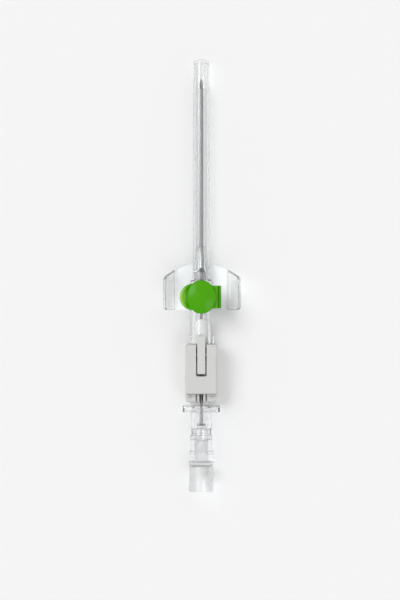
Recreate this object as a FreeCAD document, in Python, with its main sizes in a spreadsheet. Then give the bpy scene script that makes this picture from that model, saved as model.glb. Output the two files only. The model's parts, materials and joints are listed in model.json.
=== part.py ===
import FreeCAD, Part
import math
import os
import types

import Sketcher

# Ported, winged intravenous cannula with a needle guard, 18 gauge with a 45 mm catheter tube.
# The needle's axis is the Y axis, with the point towards +Y and the port's cap towards +Z.
# The origin is the centre of the catheter hub's luer mouth. Sizes are in millimetres and degrees.

SIZES = {
    # Whole object
    "axis_height": 3.75,
    "seat_gap": 0.1,
    "running_gap": 0.03,
    "cut_spare": 1.0,
    # Needle
    "needle_outer": 0.90,
    "needle_bore": 0.62,
    "needle_ahead": 75.8,
    "needle_behind": 23.4,
    "bevel_angle": 15.0,
    "lancet_angle": 22.0,
    "lancet_turn": 32.0,
    # Catheter tube
    "catheter_outer": 1.30,
    "catheter_length": 45.0,
    "catheter_tip_wall": 0.06,
    "catheter_tip_taper": 3.0,
    "root_length": 3.6,
    "root_blend": 0.6,
    # Steel funnel in the hub's nose
    "ferrule_wall": 0.12,
    "ferrule_lip": 1.2,
    "ferrule_lip_radius": 1.40,
    # Catheter hub
    "hub_nose": 27.7,
    "nose_radius": 1.30,
    "nose_depth": 1.9,
    "cone_start": 22.4,
    "seat_radius": 2.05,
    "body_front": 18.2,
    "body_rear": 8.4,
    "body_radius": 3.30,
    "body_bevel": 0.5,
    "luer_tube_radius": 3.15,
    "luer_mouth": 4.27,
    "luer_taper": 0.06,
    "luer_depth": 7.6,
    "lug_length": 2.3,
    "lug_reach": 3.70,
    "lug_half_width": 1.7,
    "flow_bore": 3.0,
    # Port on top of the hub
    "port_place": 13.3,
    "stem_radius": 2.80,
    "stem_top": 6.0,
    "port_bore": 3.6,
    # Silicone sleeve under the port
    "valve_outer": 4.0,
    "valve_bore": 2.9,
    "valve_length": 8.0,
    "valve_front": 17.3,
    # Saddle and wings
    "shelf_thick": 0.8,
    "shelf_rear": 9.6,
    "shelf_front": 21.2,
    "shelf_middle_front": 23.5,
    "hinge_out": 7.6,
    "bead_radius": 0.40,
    "wing_length": 7.7,
    "wing_web": 0.5,
    "wing_pad": 0.9,
    "wing_tip_front": 18.9,
    "web_width": 1.4,
    "wing_corner": 1.4,
    "rib_width": 0.4,
    "rib_height": 0.14,
    "rib_spacing": 1.05,
    "rib_first": 2.6,
    "rib_count": 5,
    "rib_end": 0.9,
    "fold_left_angle": 66.0,
    "fold_right_angle": 63.0,
    # Green ring and cap
    "ring_bottom": 3.5,
    "ring_thick": 1.1,
    "ring_radius": 3.60,
    "strap_width": 6.4,
    "strap_outer": 5.6,
    "strap_thick": 0.7,
    "lid_bottom": 6.15,
    "lid_thick": 0.8,
    "lid_bead": 0.35,
    "tab_radius": 3.75,
    "tab_centre": 2.35,
    "tab_lip": 0.45,
    "tab_lip_width": 0.7,
    "disc_half_width": 4.10,
    "disc_half_length": 4.75,
    "disc_rim": 0.45,
    "disc_dome": 0.85,
    "plug_radius": 1.72,
    "plug_tip_radius": 1.25,
    "plug_depth": 1.9,
    "plug_land": 0.4,
    # Needle cover
    "cover_gap": 0.2,
    "cover_fit": 0.04,
    "cover_wall": 0.50,
    "cover_length": 62.6,
    "cover_tube_bore": 3.5,
    "cover_flare_end": 26.5,
    "cover_end_wall": 0.6,
    "cover_end_bevel": 0.5,
    # Needle guard
    "guard_width": 9.0,
    "guard_length": 16.6,
    "guard_top": 4.5,
    "guard_split": 0.9,
    "guard_wall": 1.0,
    "guard_corner": 0.9,
    "guard_bevel": 0.35,
    "top_length": 14.3,
    "front_band": 3.4,
    "front_band_step": 0.08,
    "slot_width": 3.1,
    "slot_length": 9.3,
    "nose_length": 7.0,
    "nose_land": 1.0,
    "nose_bore": 2.2,
    "guide_bore": 1.06,
    "rear_block_top": 2.2,
    "trough_width": 1.1,
    "rail_slot": 0.5,
    "rail_place": 1.4,
    "rail_slot_floor": -1.2,
    "peg_hole": 0.6,
    "peg_hole_place": 3.1,
    "rear_slit_length": 1.5,
    "rear_slit_width": 0.4,
    "mark_depth": 0.9,
    # Latch lever
    "lever_width": 2.0,
    "lever_ahead": 2.3,
    "lever_length": 10.9,
    "lever_thick": 0.75,
    "lever_nib": 0.8,
    "pivot_behind": 3.2,
    "pivot_height": 2.9,
    "pivot_radius": 0.45,
    "pivot_reach": 2.3,
    "pivot_stalk": 1.3,
    "ear_thick": 0.7,
    "ear_length": 1.6,
    "ear_bottom": 2.1,
    # Steel tip clip
    "clip_width": 2.8,
    "clip_thick": 0.2,
    "clip_height": 2.3,
    "clip_hole": 1.3,
    "clip_upper_reach": 8.2,
    "clip_lower_reach": 9.4,
    "clip_lip": 0.9,
    "clip_clear": 0.1,
    "clip_bend": 0.3,
    # Needle hub with finger plate
    "plate_front": 17.6,
    "plate_depth": 2.5,
    "plate_width": 10.6,
    "plate_top": 5.0,
    "plate_skin": 0.9,
    "plate_rim": 0.7,
    "plate_corner": 1.2,
    "tube_radius": 2.90,
    "tube_bore": 4.2,
    "tube_end": 24.3,
    "pipe_radius": 1.30,
    "pipe_base": 19.6,
    "spigot_radius": 2.50,
    "spigot_length": 3.0,
    "bond_radius": 0.9,
    "bond_length": 1.0,
    # Flash chamber
    "collar_radius": 2.85,
    "collar_length": 1.8,
    "chamber_radius": 3.15,
    "chamber_end": 31.6,
    "flange_radius": 3.45,
    "flange_length": 0.9,
    # Vent plug and filter
    "plug_front": 33.6,
    "plug_length": 8.6,
    "plug_nose_in": 3.9,
    "plug_rim_radius": 3.70,
    "plug_rim_length": 0.7,
    "plug_groove": 0.3,
    "plug_body_radius": 3.50,
    "plug_ribs": 12,
    "plug_rib_length": 3.2,
    "plug_rib_width": 0.5,
    "plug_nose_bore": 2.2,
    "plug_web": 1.5,
    "filter_outer": 4.4,
    "filter_thick": 2.0,
    "plug_mouth": 5.2,
    "plug_mouth_depth": 4.2,
}

# How Sketcher counts a line's start, its end, a circle's centre and the sketch's own origin
START, END, CENTRE = range(1, 4)
ORIGIN = -START


class Size:
    """A value together with the sheet formula that gives it."""

    def __init__(self, value, formula):
        self.value = value
        self.formula = formula

    def __add__(self, other):
        other = as_size(other)
        return Size(self.value + other.value, "(%s + %s)" % (self.formula, other.formula))

    def __sub__(self, other):
        other = as_size(other)
        return Size(self.value - other.value, "(%s - %s)" % (self.formula, other.formula))

    def __mul__(self, other):
        other = as_size(other)
        return Size(self.value * other.value, "(%s * %s)" % (self.formula, other.formula))

    def __truediv__(self, other):
        other = as_size(other)
        return Size(self.value / other.value, "(%s / %s)" % (self.formula, other.formula))

    def __radd__(self, other):
        return as_size(other) + self

    def __rsub__(self, other):
        return as_size(other) - self

    def __rmul__(self, other):
        return as_size(other) * self

    def __neg__(self):
        return Size(-self.value, "(0 - %s)" % self.formula)


def as_size(number):
    """Take a plain number as a size."""
    if isinstance(number, Size):
        return number
    return Size(float(number), "(%r)" % float(number))


def make_sheet(doc):
    """Write the driving sizes into the sheet and return them by name."""
    sheet = doc.addObject("Spreadsheet::Sheet", "Sizes")
    named = {}
    for row, (name, value) in enumerate(SIZES.items(), start=1):
        sheet.set("A%d" % row, name)
        sheet.set("B%d" % row, str(value))
        sheet.setAlias("B%d" % row, name)
        named[name] = Size(value, "Sizes.%s" % name)
    doc.recompute()
    return types.SimpleNamespace(**named)


def new_body(doc, label):
    """Start a body named after its sub-part."""
    body = doc.addObject("PartDesign::Body", label)
    body.Label = label
    return body


def new_sketch(body, name, role, offset=0):
    """Put a sketch on one of the body's own origin planes, moved along the plane's normal."""
    sketch = body.newObject("Sketcher::SketchObject", name)
    plane = [item for item in body.Origin.OriginFeatures if item.Role == role][0]
    sketch.AttachmentSupport = [(plane, "")]
    sketch.MapMode = "FlatFace"
    offset = as_size(offset)
    sketch.AttachmentOffset.Base.z = offset.value
    sketch.setExpression("AttachmentOffset.Base.z", offset.formula)
    return sketch


def tie(sketch, kind, edge, point, size):
    """Hold one coordinate of a point at a size from the sheet."""
    size = as_size(size)
    rule = Sketcher.Constraint(kind, ORIGIN, START, edge, point, size.value)
    number = sketch.addConstraint(rule)
    sketch.setExpression("Constraints[%d]" % number, size.formula)


def draw_polygon(sketch, points):
    """Draw a closed run of straight lines through the points."""
    first = sketch.GeometryCount
    count = len(points)
    spots = []
    for across, up in points:
        spots.append(FreeCAD.Vector(as_size(across).value, as_size(up).value, 0))
    for index in range(count):
        line = Part.LineSegment(spots[index], spots[(index + 1) % count])
        sketch.addGeometry(line, False)
    for index in range(count):
        after = first + (index + 1) % count
        sketch.addConstraint(Sketcher.Constraint("Coincident", first + index, END, after, START))
    for index, (across, up) in enumerate(points):
        tie(sketch, "DistanceX", first + index, START, across)
        tie(sketch, "DistanceY", first + index, START, up)


def draw_rectangle(sketch, left, right, bottom, top):
    """Draw a rectangle between four coordinates."""
    draw_polygon(sketch, [(left, bottom), (right, bottom), (right, top), (left, top)])


def draw_circle(sketch, across, up, radius):
    """Draw a circle with its centre and radius held by the sheet."""
    radius = as_size(radius)
    centre = FreeCAD.Vector(as_size(across).value, as_size(up).value, 0)
    circle = Part.Circle(centre, FreeCAD.Vector(0, 0, 1), radius.value)
    edge = sketch.addGeometry(circle, False)
    tie(sketch, "DistanceX", edge, CENTRE, across)
    tie(sketch, "DistanceY", edge, CENTRE, up)
    number = sketch.addConstraint(Sketcher.Constraint("Radius", edge, radius.value))
    sketch.setExpression("Constraints[%d]" % number, radius.formula)


def extrude(body, name, role, start, end, draw, cut=False):
    """Pad or cut a sketch from start to end along +X, +Y or +Z.

    The XZ plane's normal is -Y, so its sketch stands at the far end and runs back.
    """
    start = as_size(start)
    end = as_size(end)
    offset = -end if role == "XZ_Plane" else start
    sketch = new_sketch(body, name + "_sketch", role, offset)
    draw(sketch)
    kind = "PartDesign::Pocket" if cut else "PartDesign::Pad"
    feature = body.newObject(kind, name)
    feature.Profile = sketch
    feature.Reversed = cut
    length = end - start
    feature.Length = length.value
    feature.setExpression("Length", length.formula)
    body.Document.recompute()
    return feature


def turn(body, name, points, cut=False):
    """Revolve a profile of (place along Y, radius) points about the needle's axis."""
    sketch = new_sketch(body, name + "_sketch", "YZ_Plane")
    draw_polygon(sketch, points)
    kind = "PartDesign::Groove" if cut else "PartDesign::Revolution"
    feature = body.newObject(kind, name)
    feature.Profile = sketch
    feature.ReferenceAxis = (sketch, ["H_Axis"])
    feature.Angle = 360
    body.Document.recompute()
    return feature


def turn_upright(body, name, place, draw, cut=False):
    """Revolve a profile of radius and height about the port's upright axis."""
    sketch = new_sketch(body, name + "_sketch", "XZ_Plane", -as_size(place))
    draw(sketch)
    kind = "PartDesign::Groove" if cut else "PartDesign::Revolution"
    feature = body.newObject(kind, name)
    feature.Profile = sketch
    feature.ReferenceAxis = (sketch, ["V_Axis"])
    feature.Angle = 360
    body.Document.recompute()
    return feature


def edges_where(shape, wanted):
    """Names of the edges whose first and last points meet a test."""
    names = []
    for index, edge in enumerate(shape.Edges, start=1):
        ends = [vertex.Point for vertex in edge.Vertexes]
        if wanted(ends[0], ends[-1]):
            names.append("Edge%d" % index)
    return names


def near(first, second):
    """Whether two coordinates are the same."""
    return abs(first - second) < 1e-4


def upright(start, end):
    """Whether an edge runs along Z."""
    return near(start.x, end.x) and near(start.y, end.y)


def lengthwise(start, end):
    """Whether an edge runs along Y."""
    return near(start.x, end.x) and near(start.z, end.z)


def round_edges(body, name, radius, wanted):
    """Fillet the edges of the body's last feature that meet a test."""
    base = body.Tip
    names = edges_where(base.Shape, wanted)
    fillet = body.newObject("PartDesign::Fillet", name)
    fillet.Base = (base, names)
    fillet.Radius = radius.value
    fillet.setExpression("Radius", radius.formula)
    body.Document.recompute()
    return fillet


def bevel_edges(body, name, width, wanted):
    """Bevel the edges of the body's last feature that meet a test."""
    base = body.Tip
    names = edges_where(base.Shape, wanted)
    bevel = body.newObject("PartDesign::Chamfer", name)
    bevel.Base = (base, names)
    bevel.Size = width.value
    bevel.setExpression("Size", width.formula)
    body.Document.recompute()
    return bevel


def make_needle(doc, size):
    """Steel tube ground to a bevel that faces up, with two lancet facets beside the point."""
    body = new_body(doc, "needle")
    outer = size.needle_outer / 2
    tip = size.needle_ahead
    turn(body, "tube", [(-size.needle_behind, 0), (-size.needle_behind, outer), (tip, outer), (tip, 0)])
    turn(body, "bore", [
        (-size.needle_behind, 0),
        (-size.needle_behind, size.needle_bore / 2),
        (tip, size.needle_bore / 2),
        (tip, 0),
    ], cut=True)
    grind(body, "bevel", size, size.bevel_angle, 0)
    for side in (-1, 1):
        name = "lancet_left" if side < 0 else "lancet_right"
        grind(body, name, size, size.lancet_angle, side)
    return body


def grind(body, name, size, angle, side):
    """Cut one facet of the point: a wedge over a plane that rises from the point backwards."""
    sketch = new_sketch(body, name + "_sketch", "YZ_Plane")
    outer = size.needle_outer / 2
    steep = Size(1 / math.tan(math.radians(angle.value)), "(1 / tan(%s * 1 deg))" % angle.formula)
    spare = size.cut_spare
    reach = size.needle_outer + spare
    draw_polygon(sketch, [
        (size.needle_ahead, -outer),
        (size.needle_ahead - reach * steep, -outer + reach),
        (size.needle_ahead + spare, -outer + reach),
        (size.needle_ahead + spare, -outer),
    ])
    if side:
        turned = size.lancet_turn * side
        axis = FreeCAD.Vector(1, 0, 0)
        sketch.AttachmentOffset = FreeCAD.Placement(FreeCAD.Vector(), FreeCAD.Rotation(axis, turned.value))
        sketch.setExpression("AttachmentOffset.Rotation.Angle", turned.formula)
    pocket = body.newObject("PartDesign::Pocket", name)
    pocket.Profile = sketch
    pocket.SideType = "Symmetric"
    width = size.needle_outer + spare
    pocket.Length = width.value
    pocket.setExpression("Length", width.formula)
    body.Document.recompute()


def catheter_bore(size):
    """Radius of the catheter's bore, a running fit on the needle."""
    return size.needle_outer / 2 + size.running_gap


def catheter_root(size):
    """Places and radii of the catheter's widened root over the ferrule's sleeve."""
    wall = size.catheter_outer / 2 - catheter_bore(size)
    inner = catheter_bore(size) + size.ferrule_wall
    front = size.hub_nose - size.nose_depth
    return types.SimpleNamespace(
        inner=inner,
        outer=inner + wall,
        front=front,
        full=front - size.root_blend,
        rear=front - size.root_blend - size.root_length,
    )


def make_catheter_tube(doc, size):
    """Extruded tube with a drawn-down tip, widened at its root over the ferrule."""
    body = new_body(doc, "catheter_tube")
    bore = catheter_bore(size)
    outer = size.catheter_outer / 2
    tip = size.hub_nose + size.catheter_length
    root = catheter_root(size)
    turn(body, "tube", [
        (root.rear, root.inner),
        (root.rear, root.outer),
        (root.full, root.outer),
        (root.front, outer),
        (tip - size.catheter_tip_taper, outer),
        (tip, bore + size.catheter_tip_wall),
        (tip, bore),
        (root.front, bore),
        (root.full, root.inner),
    ])
    return body


def make_hub_ferrule(doc, size):
    """Steel funnel whose sleeve wedges the catheter's root into the hub."""
    body = new_body(doc, "hub_ferrule")
    root = catheter_root(size)
    inner = catheter_bore(size)
    turn(body, "funnel", [
        (root.full, inner),
        (root.full, root.inner),
        (root.rear, root.inner),
        (root.rear - size.ferrule_lip, size.ferrule_lip_radius),
        (root.rear - size.ferrule_lip, size.ferrule_lip_radius - size.ferrule_wall),
        (root.rear, inner),
    ])
    return body


def luer_radius(size, depth):
    """Radius of the female luer cone at a depth from its mouth."""
    return size.luer_mouth / 2 - depth * size.luer_taper / 2


def make_catheter_hub(doc, size):
    """Clear hub: nose cone, port body with its stem, wing saddle and the luer tube with its lugs."""
    body = new_body(doc, "catheter_hub")
    place = size.port_place
    root = catheter_root(size)
    spare = size.cut_spare

    # Two lugs, left over from a disc whose top and bottom are cut flat
    lug_face = size.lug_half_width
    reach = size.lug_reach
    extrude(body, "lug_disc", "XZ_Plane", 0, size.lug_length, lambda s: draw_circle(s, 0, 0, reach))
    for side in (-1, 1):
        name = "lug_flat_%s" % ("low" if side < 0 else "high")
        inner = lug_face * side
        outer = (reach + spare) * side
        extrude(body, name, "XZ_Plane", 0, size.lug_length,
                lambda s: draw_rectangle(s, -reach - spare, reach + spare, inner, outer), cut=True)

    turn(body, "shell", [
        (0, 0),
        (0, size.luer_tube_radius),
        (size.body_rear, size.luer_tube_radius),
        (size.body_rear + size.body_bevel, size.body_radius),
        (size.body_front - size.body_bevel, size.body_radius),
        (size.body_front, size.body_radius - size.body_bevel),
        (size.body_front, size.seat_radius),
        (size.cone_start, size.seat_radius),
        (size.hub_nose, size.nose_radius),
        (size.hub_nose, 0),
    ])
    extrude(body, "stem", "XY_Plane", 0, size.stem_top,
            lambda s: draw_circle(s, 0, place, size.stem_radius))

    # Saddle under the hub, with a shelf on each side that carries a wing
    floor = -size.axis_height
    edge = size.hinge_out - size.bead_radius + size.running_gap
    middle = size.seat_radius
    extrude(body, "saddle", "XY_Plane", floor, floor + size.shelf_thick, lambda s: draw_polygon(s, [
        (-edge, size.shelf_rear),
        (edge, size.shelf_rear),
        (edge, size.shelf_front),
        (middle, size.shelf_middle_front),
        (-middle, size.shelf_middle_front),
        (-edge, size.shelf_front),
    ]))
    height = floor + size.bead_radius
    cup = size.bead_radius + size.running_gap
    for side in (-1, 1):
        name = "wing_seat_%s" % ("left" if side < 0 else "right")
        extrude(body, name, "XZ_Plane", size.shelf_rear - spare, size.shelf_middle_front + spare,
                lambda s: draw_circle(s, size.hinge_out * side, height, cup), cut=True)

    # Bores, from the luer mouth forward to the catheter
    valve_rear = size.valve_front - size.valve_length - size.seat_gap
    turn(body, "flow_path", [
        (0, 0),
        (0, luer_radius(size, 0)),
        (size.luer_depth, luer_radius(size, size.luer_depth)),
        (valve_rear, luer_radius(size, size.luer_depth)),
        (valve_rear, size.valve_outer / 2),
        (size.valve_front + size.seat_gap, size.valve_outer / 2),
        (size.valve_front + size.seat_gap, size.flow_bore / 2),
        (root.rear - size.ferrule_lip, size.flow_bore / 2),
        (root.rear - size.ferrule_lip, size.ferrule_lip_radius),
        (root.rear, root.outer),
        (root.full, root.outer),
        (root.front, size.catheter_outer / 2),
        (size.hub_nose, size.catheter_outer / 2),
        (size.hub_nose, 0),
    ], cut=True)
    port = size.port_bore / 2
    extrude(body, "port", "XY_Plane", 0, size.stem_top, lambda s: draw_circle(s, 0, place, port), cut=True)
    return body


def make_valve_sleeve(doc, size):
    """Silicone sleeve that lies over the port's hole and is pushed aside by a syringe."""
    body = new_body(doc, "valve_sleeve")
    rear = size.valve_front - size.valve_length
    outer = size.valve_outer / 2 - size.running_gap
    turn(body, "sleeve", [
        (rear, size.valve_bore / 2),
        (rear, outer),
        (size.valve_front, outer),
        (size.valve_front, size.valve_bore / 2),
    ])
    return body


def make_wing(doc, size, label, side, fold):
    """One wing, drawn flat from its hinge bead outwards, then folded up about the bead."""
    body = new_body(doc, label)
    rear = size.shelf_rear
    front = size.shelf_front
    tip = size.wing_length * side
    half = size.wing_web / 2
    extrude(body, "bead", "XZ_Plane", rear, front, lambda s: draw_circle(s, 0, 0, size.bead_radius))
    extrude(body, "web", "XY_Plane", -half, half, lambda s: draw_polygon(s, [
        (0, rear),
        (tip, rear),
        (tip, size.wing_tip_front),
        (0, front),
    ]))
    inner = size.web_width * side
    lean = (front - size.wing_tip_front) / size.wing_length * size.web_width
    extrude(body, "pad", "XY_Plane", -half, size.wing_pad - half, lambda s: draw_polygon(s, [
        (inner, rear),
        (tip, rear),
        (tip, size.wing_tip_front),
        (inner, front - lean),
    ]))
    first = size.rib_first * side
    second = (size.rib_first + size.rib_width) * side
    extrude(body, "rib", "XY_Plane", -half - size.rib_height, -half, lambda s: draw_polygon(s, [
        (first, rear + size.rib_end),
        (second, rear + size.rib_end),
        (second, size.wing_tip_front - size.rib_end),
        (first, size.wing_tip_front - size.rib_end),
    ]))
    rib = body.Tip
    ribs = body.newObject("PartDesign::LinearPattern", "ribs")
    ribs.Originals = [rib]
    ribs.Direction = (rib.Profile[0], ["H_Axis"])
    ribs.Reversed = side < 0
    ribs.Mode = "Spacing"
    ribs.Offset = size.rib_spacing.value
    ribs.setExpression("Offset", size.rib_spacing.formula)
    ribs.Occurrences = int(size.rib_count.value)
    ribs.setExpression("Occurrences", size.rib_count.formula)
    body.Tip = ribs
    doc.recompute()
    round_edges(body, "corners", size.wing_corner, lambda a, b: upright(a, b) and near(a.x, tip.value))

    # A wing's fold is a turn about its bead, so left and right turn opposite ways
    turned = fold * -side
    body.Placement = FreeCAD.Placement(
        FreeCAD.Vector(size.hinge_out.value * side, 0, (size.bead_radius - size.axis_height).value),
        FreeCAD.Rotation(FreeCAD.Vector(0, 1, 0), turned.value),
    )
    body.setExpression("Placement.Base.x", (size.hinge_out * side).formula)
    body.setExpression("Placement.Base.z", (size.bead_radius - size.axis_height).formula)
    body.setExpression("Placement.Rotation.Angle", turned.formula)
    doc.recompute()
    return body


def strap_hinge(size):
    """Place across and height of the cap's hinge, over the middle of the strap's upright."""
    across = size.strap_outer - size.strap_thick / 2
    height = size.lid_bottom + size.lid_bead
    return across, height


def make_cap_ring(doc, size):
    """Ring pushed over the port's stem, with a strap that rises at the right to the cap's hinge."""
    body = new_body(doc, "cap_ring")
    place = size.port_place
    half = size.strap_width / 2
    top = size.ring_bottom + size.ring_thick
    extrude(body, "ring", "XY_Plane", size.ring_bottom, top,
            lambda s: draw_circle(s, 0, place, size.ring_radius))
    extrude(body, "strap", "XY_Plane", size.ring_bottom, top,
            lambda s: draw_rectangle(s, 0, size.strap_outer, place - half, place + half))
    extrude(body, "upright", "XY_Plane", size.ring_bottom, size.lid_bottom - size.seat_gap,
            lambda s: draw_rectangle(s, size.strap_outer - size.strap_thick, size.strap_outer,
                                     place - half, place + half))
    extrude(body, "stem_hole", "XY_Plane", size.ring_bottom, top,
            lambda s: draw_circle(s, 0, place, size.stem_radius), cut=True)
    return body


def draw_oval(sketch, across, up, half_width, half_length):
    """Draw an upright oval with both of its half axes held by the sheet."""
    centre = FreeCAD.Vector(as_size(across).value, up.value, 0)
    top = centre + FreeCAD.Vector(0, half_length.value, 0)
    side = centre - FreeCAD.Vector(half_width.value, 0, 0)
    edge = sketch.addGeometry(Part.Ellipse(top, side, centre), False)
    sketch.exposeInternalGeometry(edge)
    long_axis = edge + 1
    short_axis = edge + 2
    tie(sketch, "DistanceX", edge, CENTRE, across)
    tie(sketch, "DistanceY", edge, CENTRE, up)
    sketch.addConstraint(Sketcher.Constraint("Vertical", long_axis))
    for line, half in ((long_axis, half_length), (short_axis, half_width)):
        whole = half * 2
        number = sketch.addConstraint(Sketcher.Constraint("Distance", line, whole.value))
        sketch.setExpression("Constraints[%d]" % number, whole.formula)


def draw_above_dome(sketch, reach, peak, radius, spare):
    """Draw what lies above a round dome that peaks on the axis, out to the reach."""
    middle = peak - radius
    lean = math.acos(reach.value / radius.value)
    rim = middle.value + radius.value * math.sin(lean)
    draw_line(sketch, (0, peak.value), (0, (peak + spare).value))
    draw_line(sketch, (0, (peak + spare).value), (reach.value, (peak + spare).value))
    draw_line(sketch, (reach.value, (peak + spare).value), (reach.value, rim))
    circle = Part.Circle(FreeCAD.Vector(0, middle.value, 0), FreeCAD.Vector(0, 0, 1), radius.value)
    arc = sketch.addGeometry(Part.ArcOfCircle(circle, lean, math.pi / 2), False)
    for line in range(arc - 1):
        sketch.addConstraint(Sketcher.Constraint("Coincident", line, END, line + 1, START))
    for line, across, up in ((0, 0, peak), (1, 0, peak + spare), (2, reach, peak + spare)):
        tie(sketch, "DistanceX", line, START, across)
        tie(sketch, "DistanceY", line, START, up)
    tie(sketch, "DistanceX", arc - 1, END, reach)
    tie(sketch, "DistanceX", arc, CENTRE, 0)
    tie(sketch, "DistanceY", arc, CENTRE, middle)
    sketch.addConstraint(Sketcher.Constraint("Coincident", arc, END, 0, START))
    sketch.addConstraint(Sketcher.Constraint("Coincident", arc, START, arc - 1, END))


def draw_line(sketch, start, end):
    """Draw one straight line between two places."""
    sketch.addGeometry(Part.LineSegment(FreeCAD.Vector(*start, 0), FreeCAD.Vector(*end, 0)), False)


def make_port_cap(doc, size):
    """Flip cap: an oval button with a domed top, a thin thumb tab, a strap end and a plug under it."""
    body = new_body(doc, "port_cap")
    place = size.port_place
    half = size.strap_width / 2
    across, height = strap_hinge(size)
    bottom = size.lid_bottom
    top = bottom + size.lid_thick
    long = size.disc_half_length
    peak = top + size.tab_lip + size.disc_rim + size.disc_dome
    extrude(body, "button", "XY_Plane", bottom, peak,
            lambda s: draw_oval(s, 0, place, size.disc_half_width, long))
    dome = (long * long + size.disc_dome * size.disc_dome) / (size.disc_dome * 2)
    turn_upright(body, "dome", place,
                 lambda s: draw_above_dome(s, long + size.cut_spare, peak, dome, size.cut_spare), cut=True)
    extrude(body, "tab", "XY_Plane", bottom, top,
            lambda s: draw_circle(s, -size.tab_centre, place, size.tab_radius))
    rim_inner = size.tab_radius - size.tab_lip_width
    extrude(body, "tab_lip", "XY_Plane", top, top + size.tab_lip, lambda s: [
        draw_circle(s, -size.tab_centre, place, size.tab_radius),
        draw_circle(s, -size.tab_centre, place, rim_inner),
    ])
    extrude(body, "strap_end", "XY_Plane", bottom, top - size.running_gap,
            lambda s: draw_rectangle(s, 0, across, place - half, place + half))
    extrude(body, "hinge_bead", "XZ_Plane", place - half, place + half,
            lambda s: draw_circle(s, across, height, size.lid_bead))
    turn_upright(body, "plug", place, lambda s: draw_polygon(s, [
        (0, bottom),
        (size.plug_radius, bottom),
        (size.plug_radius, bottom - size.plug_land),
        (size.plug_tip_radius, bottom - size.plug_depth),
        (0, bottom - size.plug_depth),
    ]))
    return body


def make_needle_cover(doc, size):
    """Long cover, flared at its mouth over the hub's round seat and closed at its tip."""
    body = new_body(doc, "needle_cover")
    mouth = size.body_front + size.cover_gap
    end = mouth + size.cover_length
    mouth_bore = size.seat_radius + size.cover_fit
    bore = size.cover_tube_bore / 2
    outer = bore + size.cover_wall
    bevel = size.cover_end_bevel
    turn(body, "shell", [
        (mouth, 0),
        (mouth, mouth_bore + size.cover_wall),
        (size.cover_flare_end, outer),
        (end - bevel, outer),
        (end, outer - bevel),
        (end, 0),
    ])
    inner_end = end - size.cover_end_wall
    turn(body, "hollow", [
        (mouth, 0),
        (mouth, mouth_bore),
        (size.cone_start, mouth_bore),
        (size.cover_flare_end, bore),
        (inner_end, bore),
        (inner_end, 0),
    ], cut=True)
    return body


def guard_front(size):
    """Front face of the guard, a little behind the hub's luer mouth."""
    return -size.seat_gap


def make_guard_base(doc, size):
    """Lower half of the guard: tray with the male luer nose, the needle's guide and the rear block."""
    body = new_body(doc, "guard_base")
    half = size.guard_width / 2
    front = guard_front(size)
    rear = -size.guard_length
    floor = -size.axis_height
    extrude(body, "tray", "XY_Plane", floor, size.guard_split,
            lambda s: draw_rectangle(s, -half, half, rear, front))
    extrude(body, "rear_block", "XY_Plane", size.guard_split, size.rear_block_top,
            lambda s: draw_rectangle(s, -half, half, rear, -size.top_length))
    round_edges(body, "corners", size.guard_corner, lambda a, b: upright(a, b) and near(abs(a.x), half.value)
                and (near(a.y, front.value) or near(a.y, rear.value)))
    wall = size.guard_wall
    inner_rear = -(size.top_length - wall)
    extrude(body, "inside", "XY_Plane", floor + wall, size.guard_split,
            lambda s: draw_rectangle(s, -half + wall, half - wall, inner_rear, front - wall), cut=True)
    fit = size.running_gap
    turn(body, "luer_nose", [
        (front - wall / 2, 0),
        (front - wall / 2, luer_radius(size, 0) - fit),
        (0, luer_radius(size, 0) - fit),
        (size.nose_length, luer_radius(size, size.nose_length) - fit),
        (size.nose_length, 0),
    ])
    turn(body, "needle_way", [
        (rear, 0),
        (rear, size.guide_bore / 2),
        (inner_rear, size.guide_bore / 2),
        (inner_rear, size.nose_bore / 2),
        (size.nose_length - size.nose_land, size.nose_bore / 2),
        (size.nose_length - size.nose_land, size.guide_bore / 2),
        (size.nose_length, size.guide_bore / 2),
        (size.nose_length, 0),
    ], cut=True)

    # Rear block: open trough over the needle, a slot on each side of it, a peg hole and a slit
    block_top = size.rear_block_top
    block_front = -size.top_length
    trough = size.trough_width / 2
    extrude(body, "trough", "XY_Plane", 0, block_top,
            lambda s: draw_rectangle(s, -trough, trough, rear, block_front), cut=True)
    for side in (-1, 1):
        name = "rail_slot_%s" % ("left" if side < 0 else "right")
        near_side = (size.rail_place - size.rail_slot / 2) * side
        far_side = (size.rail_place + size.rail_slot / 2) * side
        extrude(body, name, "XY_Plane", size.rail_slot_floor, block_top,
                lambda s: draw_rectangle(s, near_side, far_side, rear, block_front), cut=True)
    middle = (rear + block_front) / 2
    extrude(body, "peg_hole", "XY_Plane", block_top - size.mark_depth, block_top,
            lambda s: draw_circle(s, -size.peg_hole_place, middle, size.peg_hole), cut=True)
    slit = size.rear_slit_length / 2
    slit_half = size.rear_slit_width / 2
    extrude(body, "slit", "XY_Plane", block_top - size.mark_depth, block_top,
            lambda s: draw_rectangle(s, size.peg_hole_place - slit, size.peg_hole_place + slit,
                                     middle - slit_half, middle + slit_half), cut=True)
    return body


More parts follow.
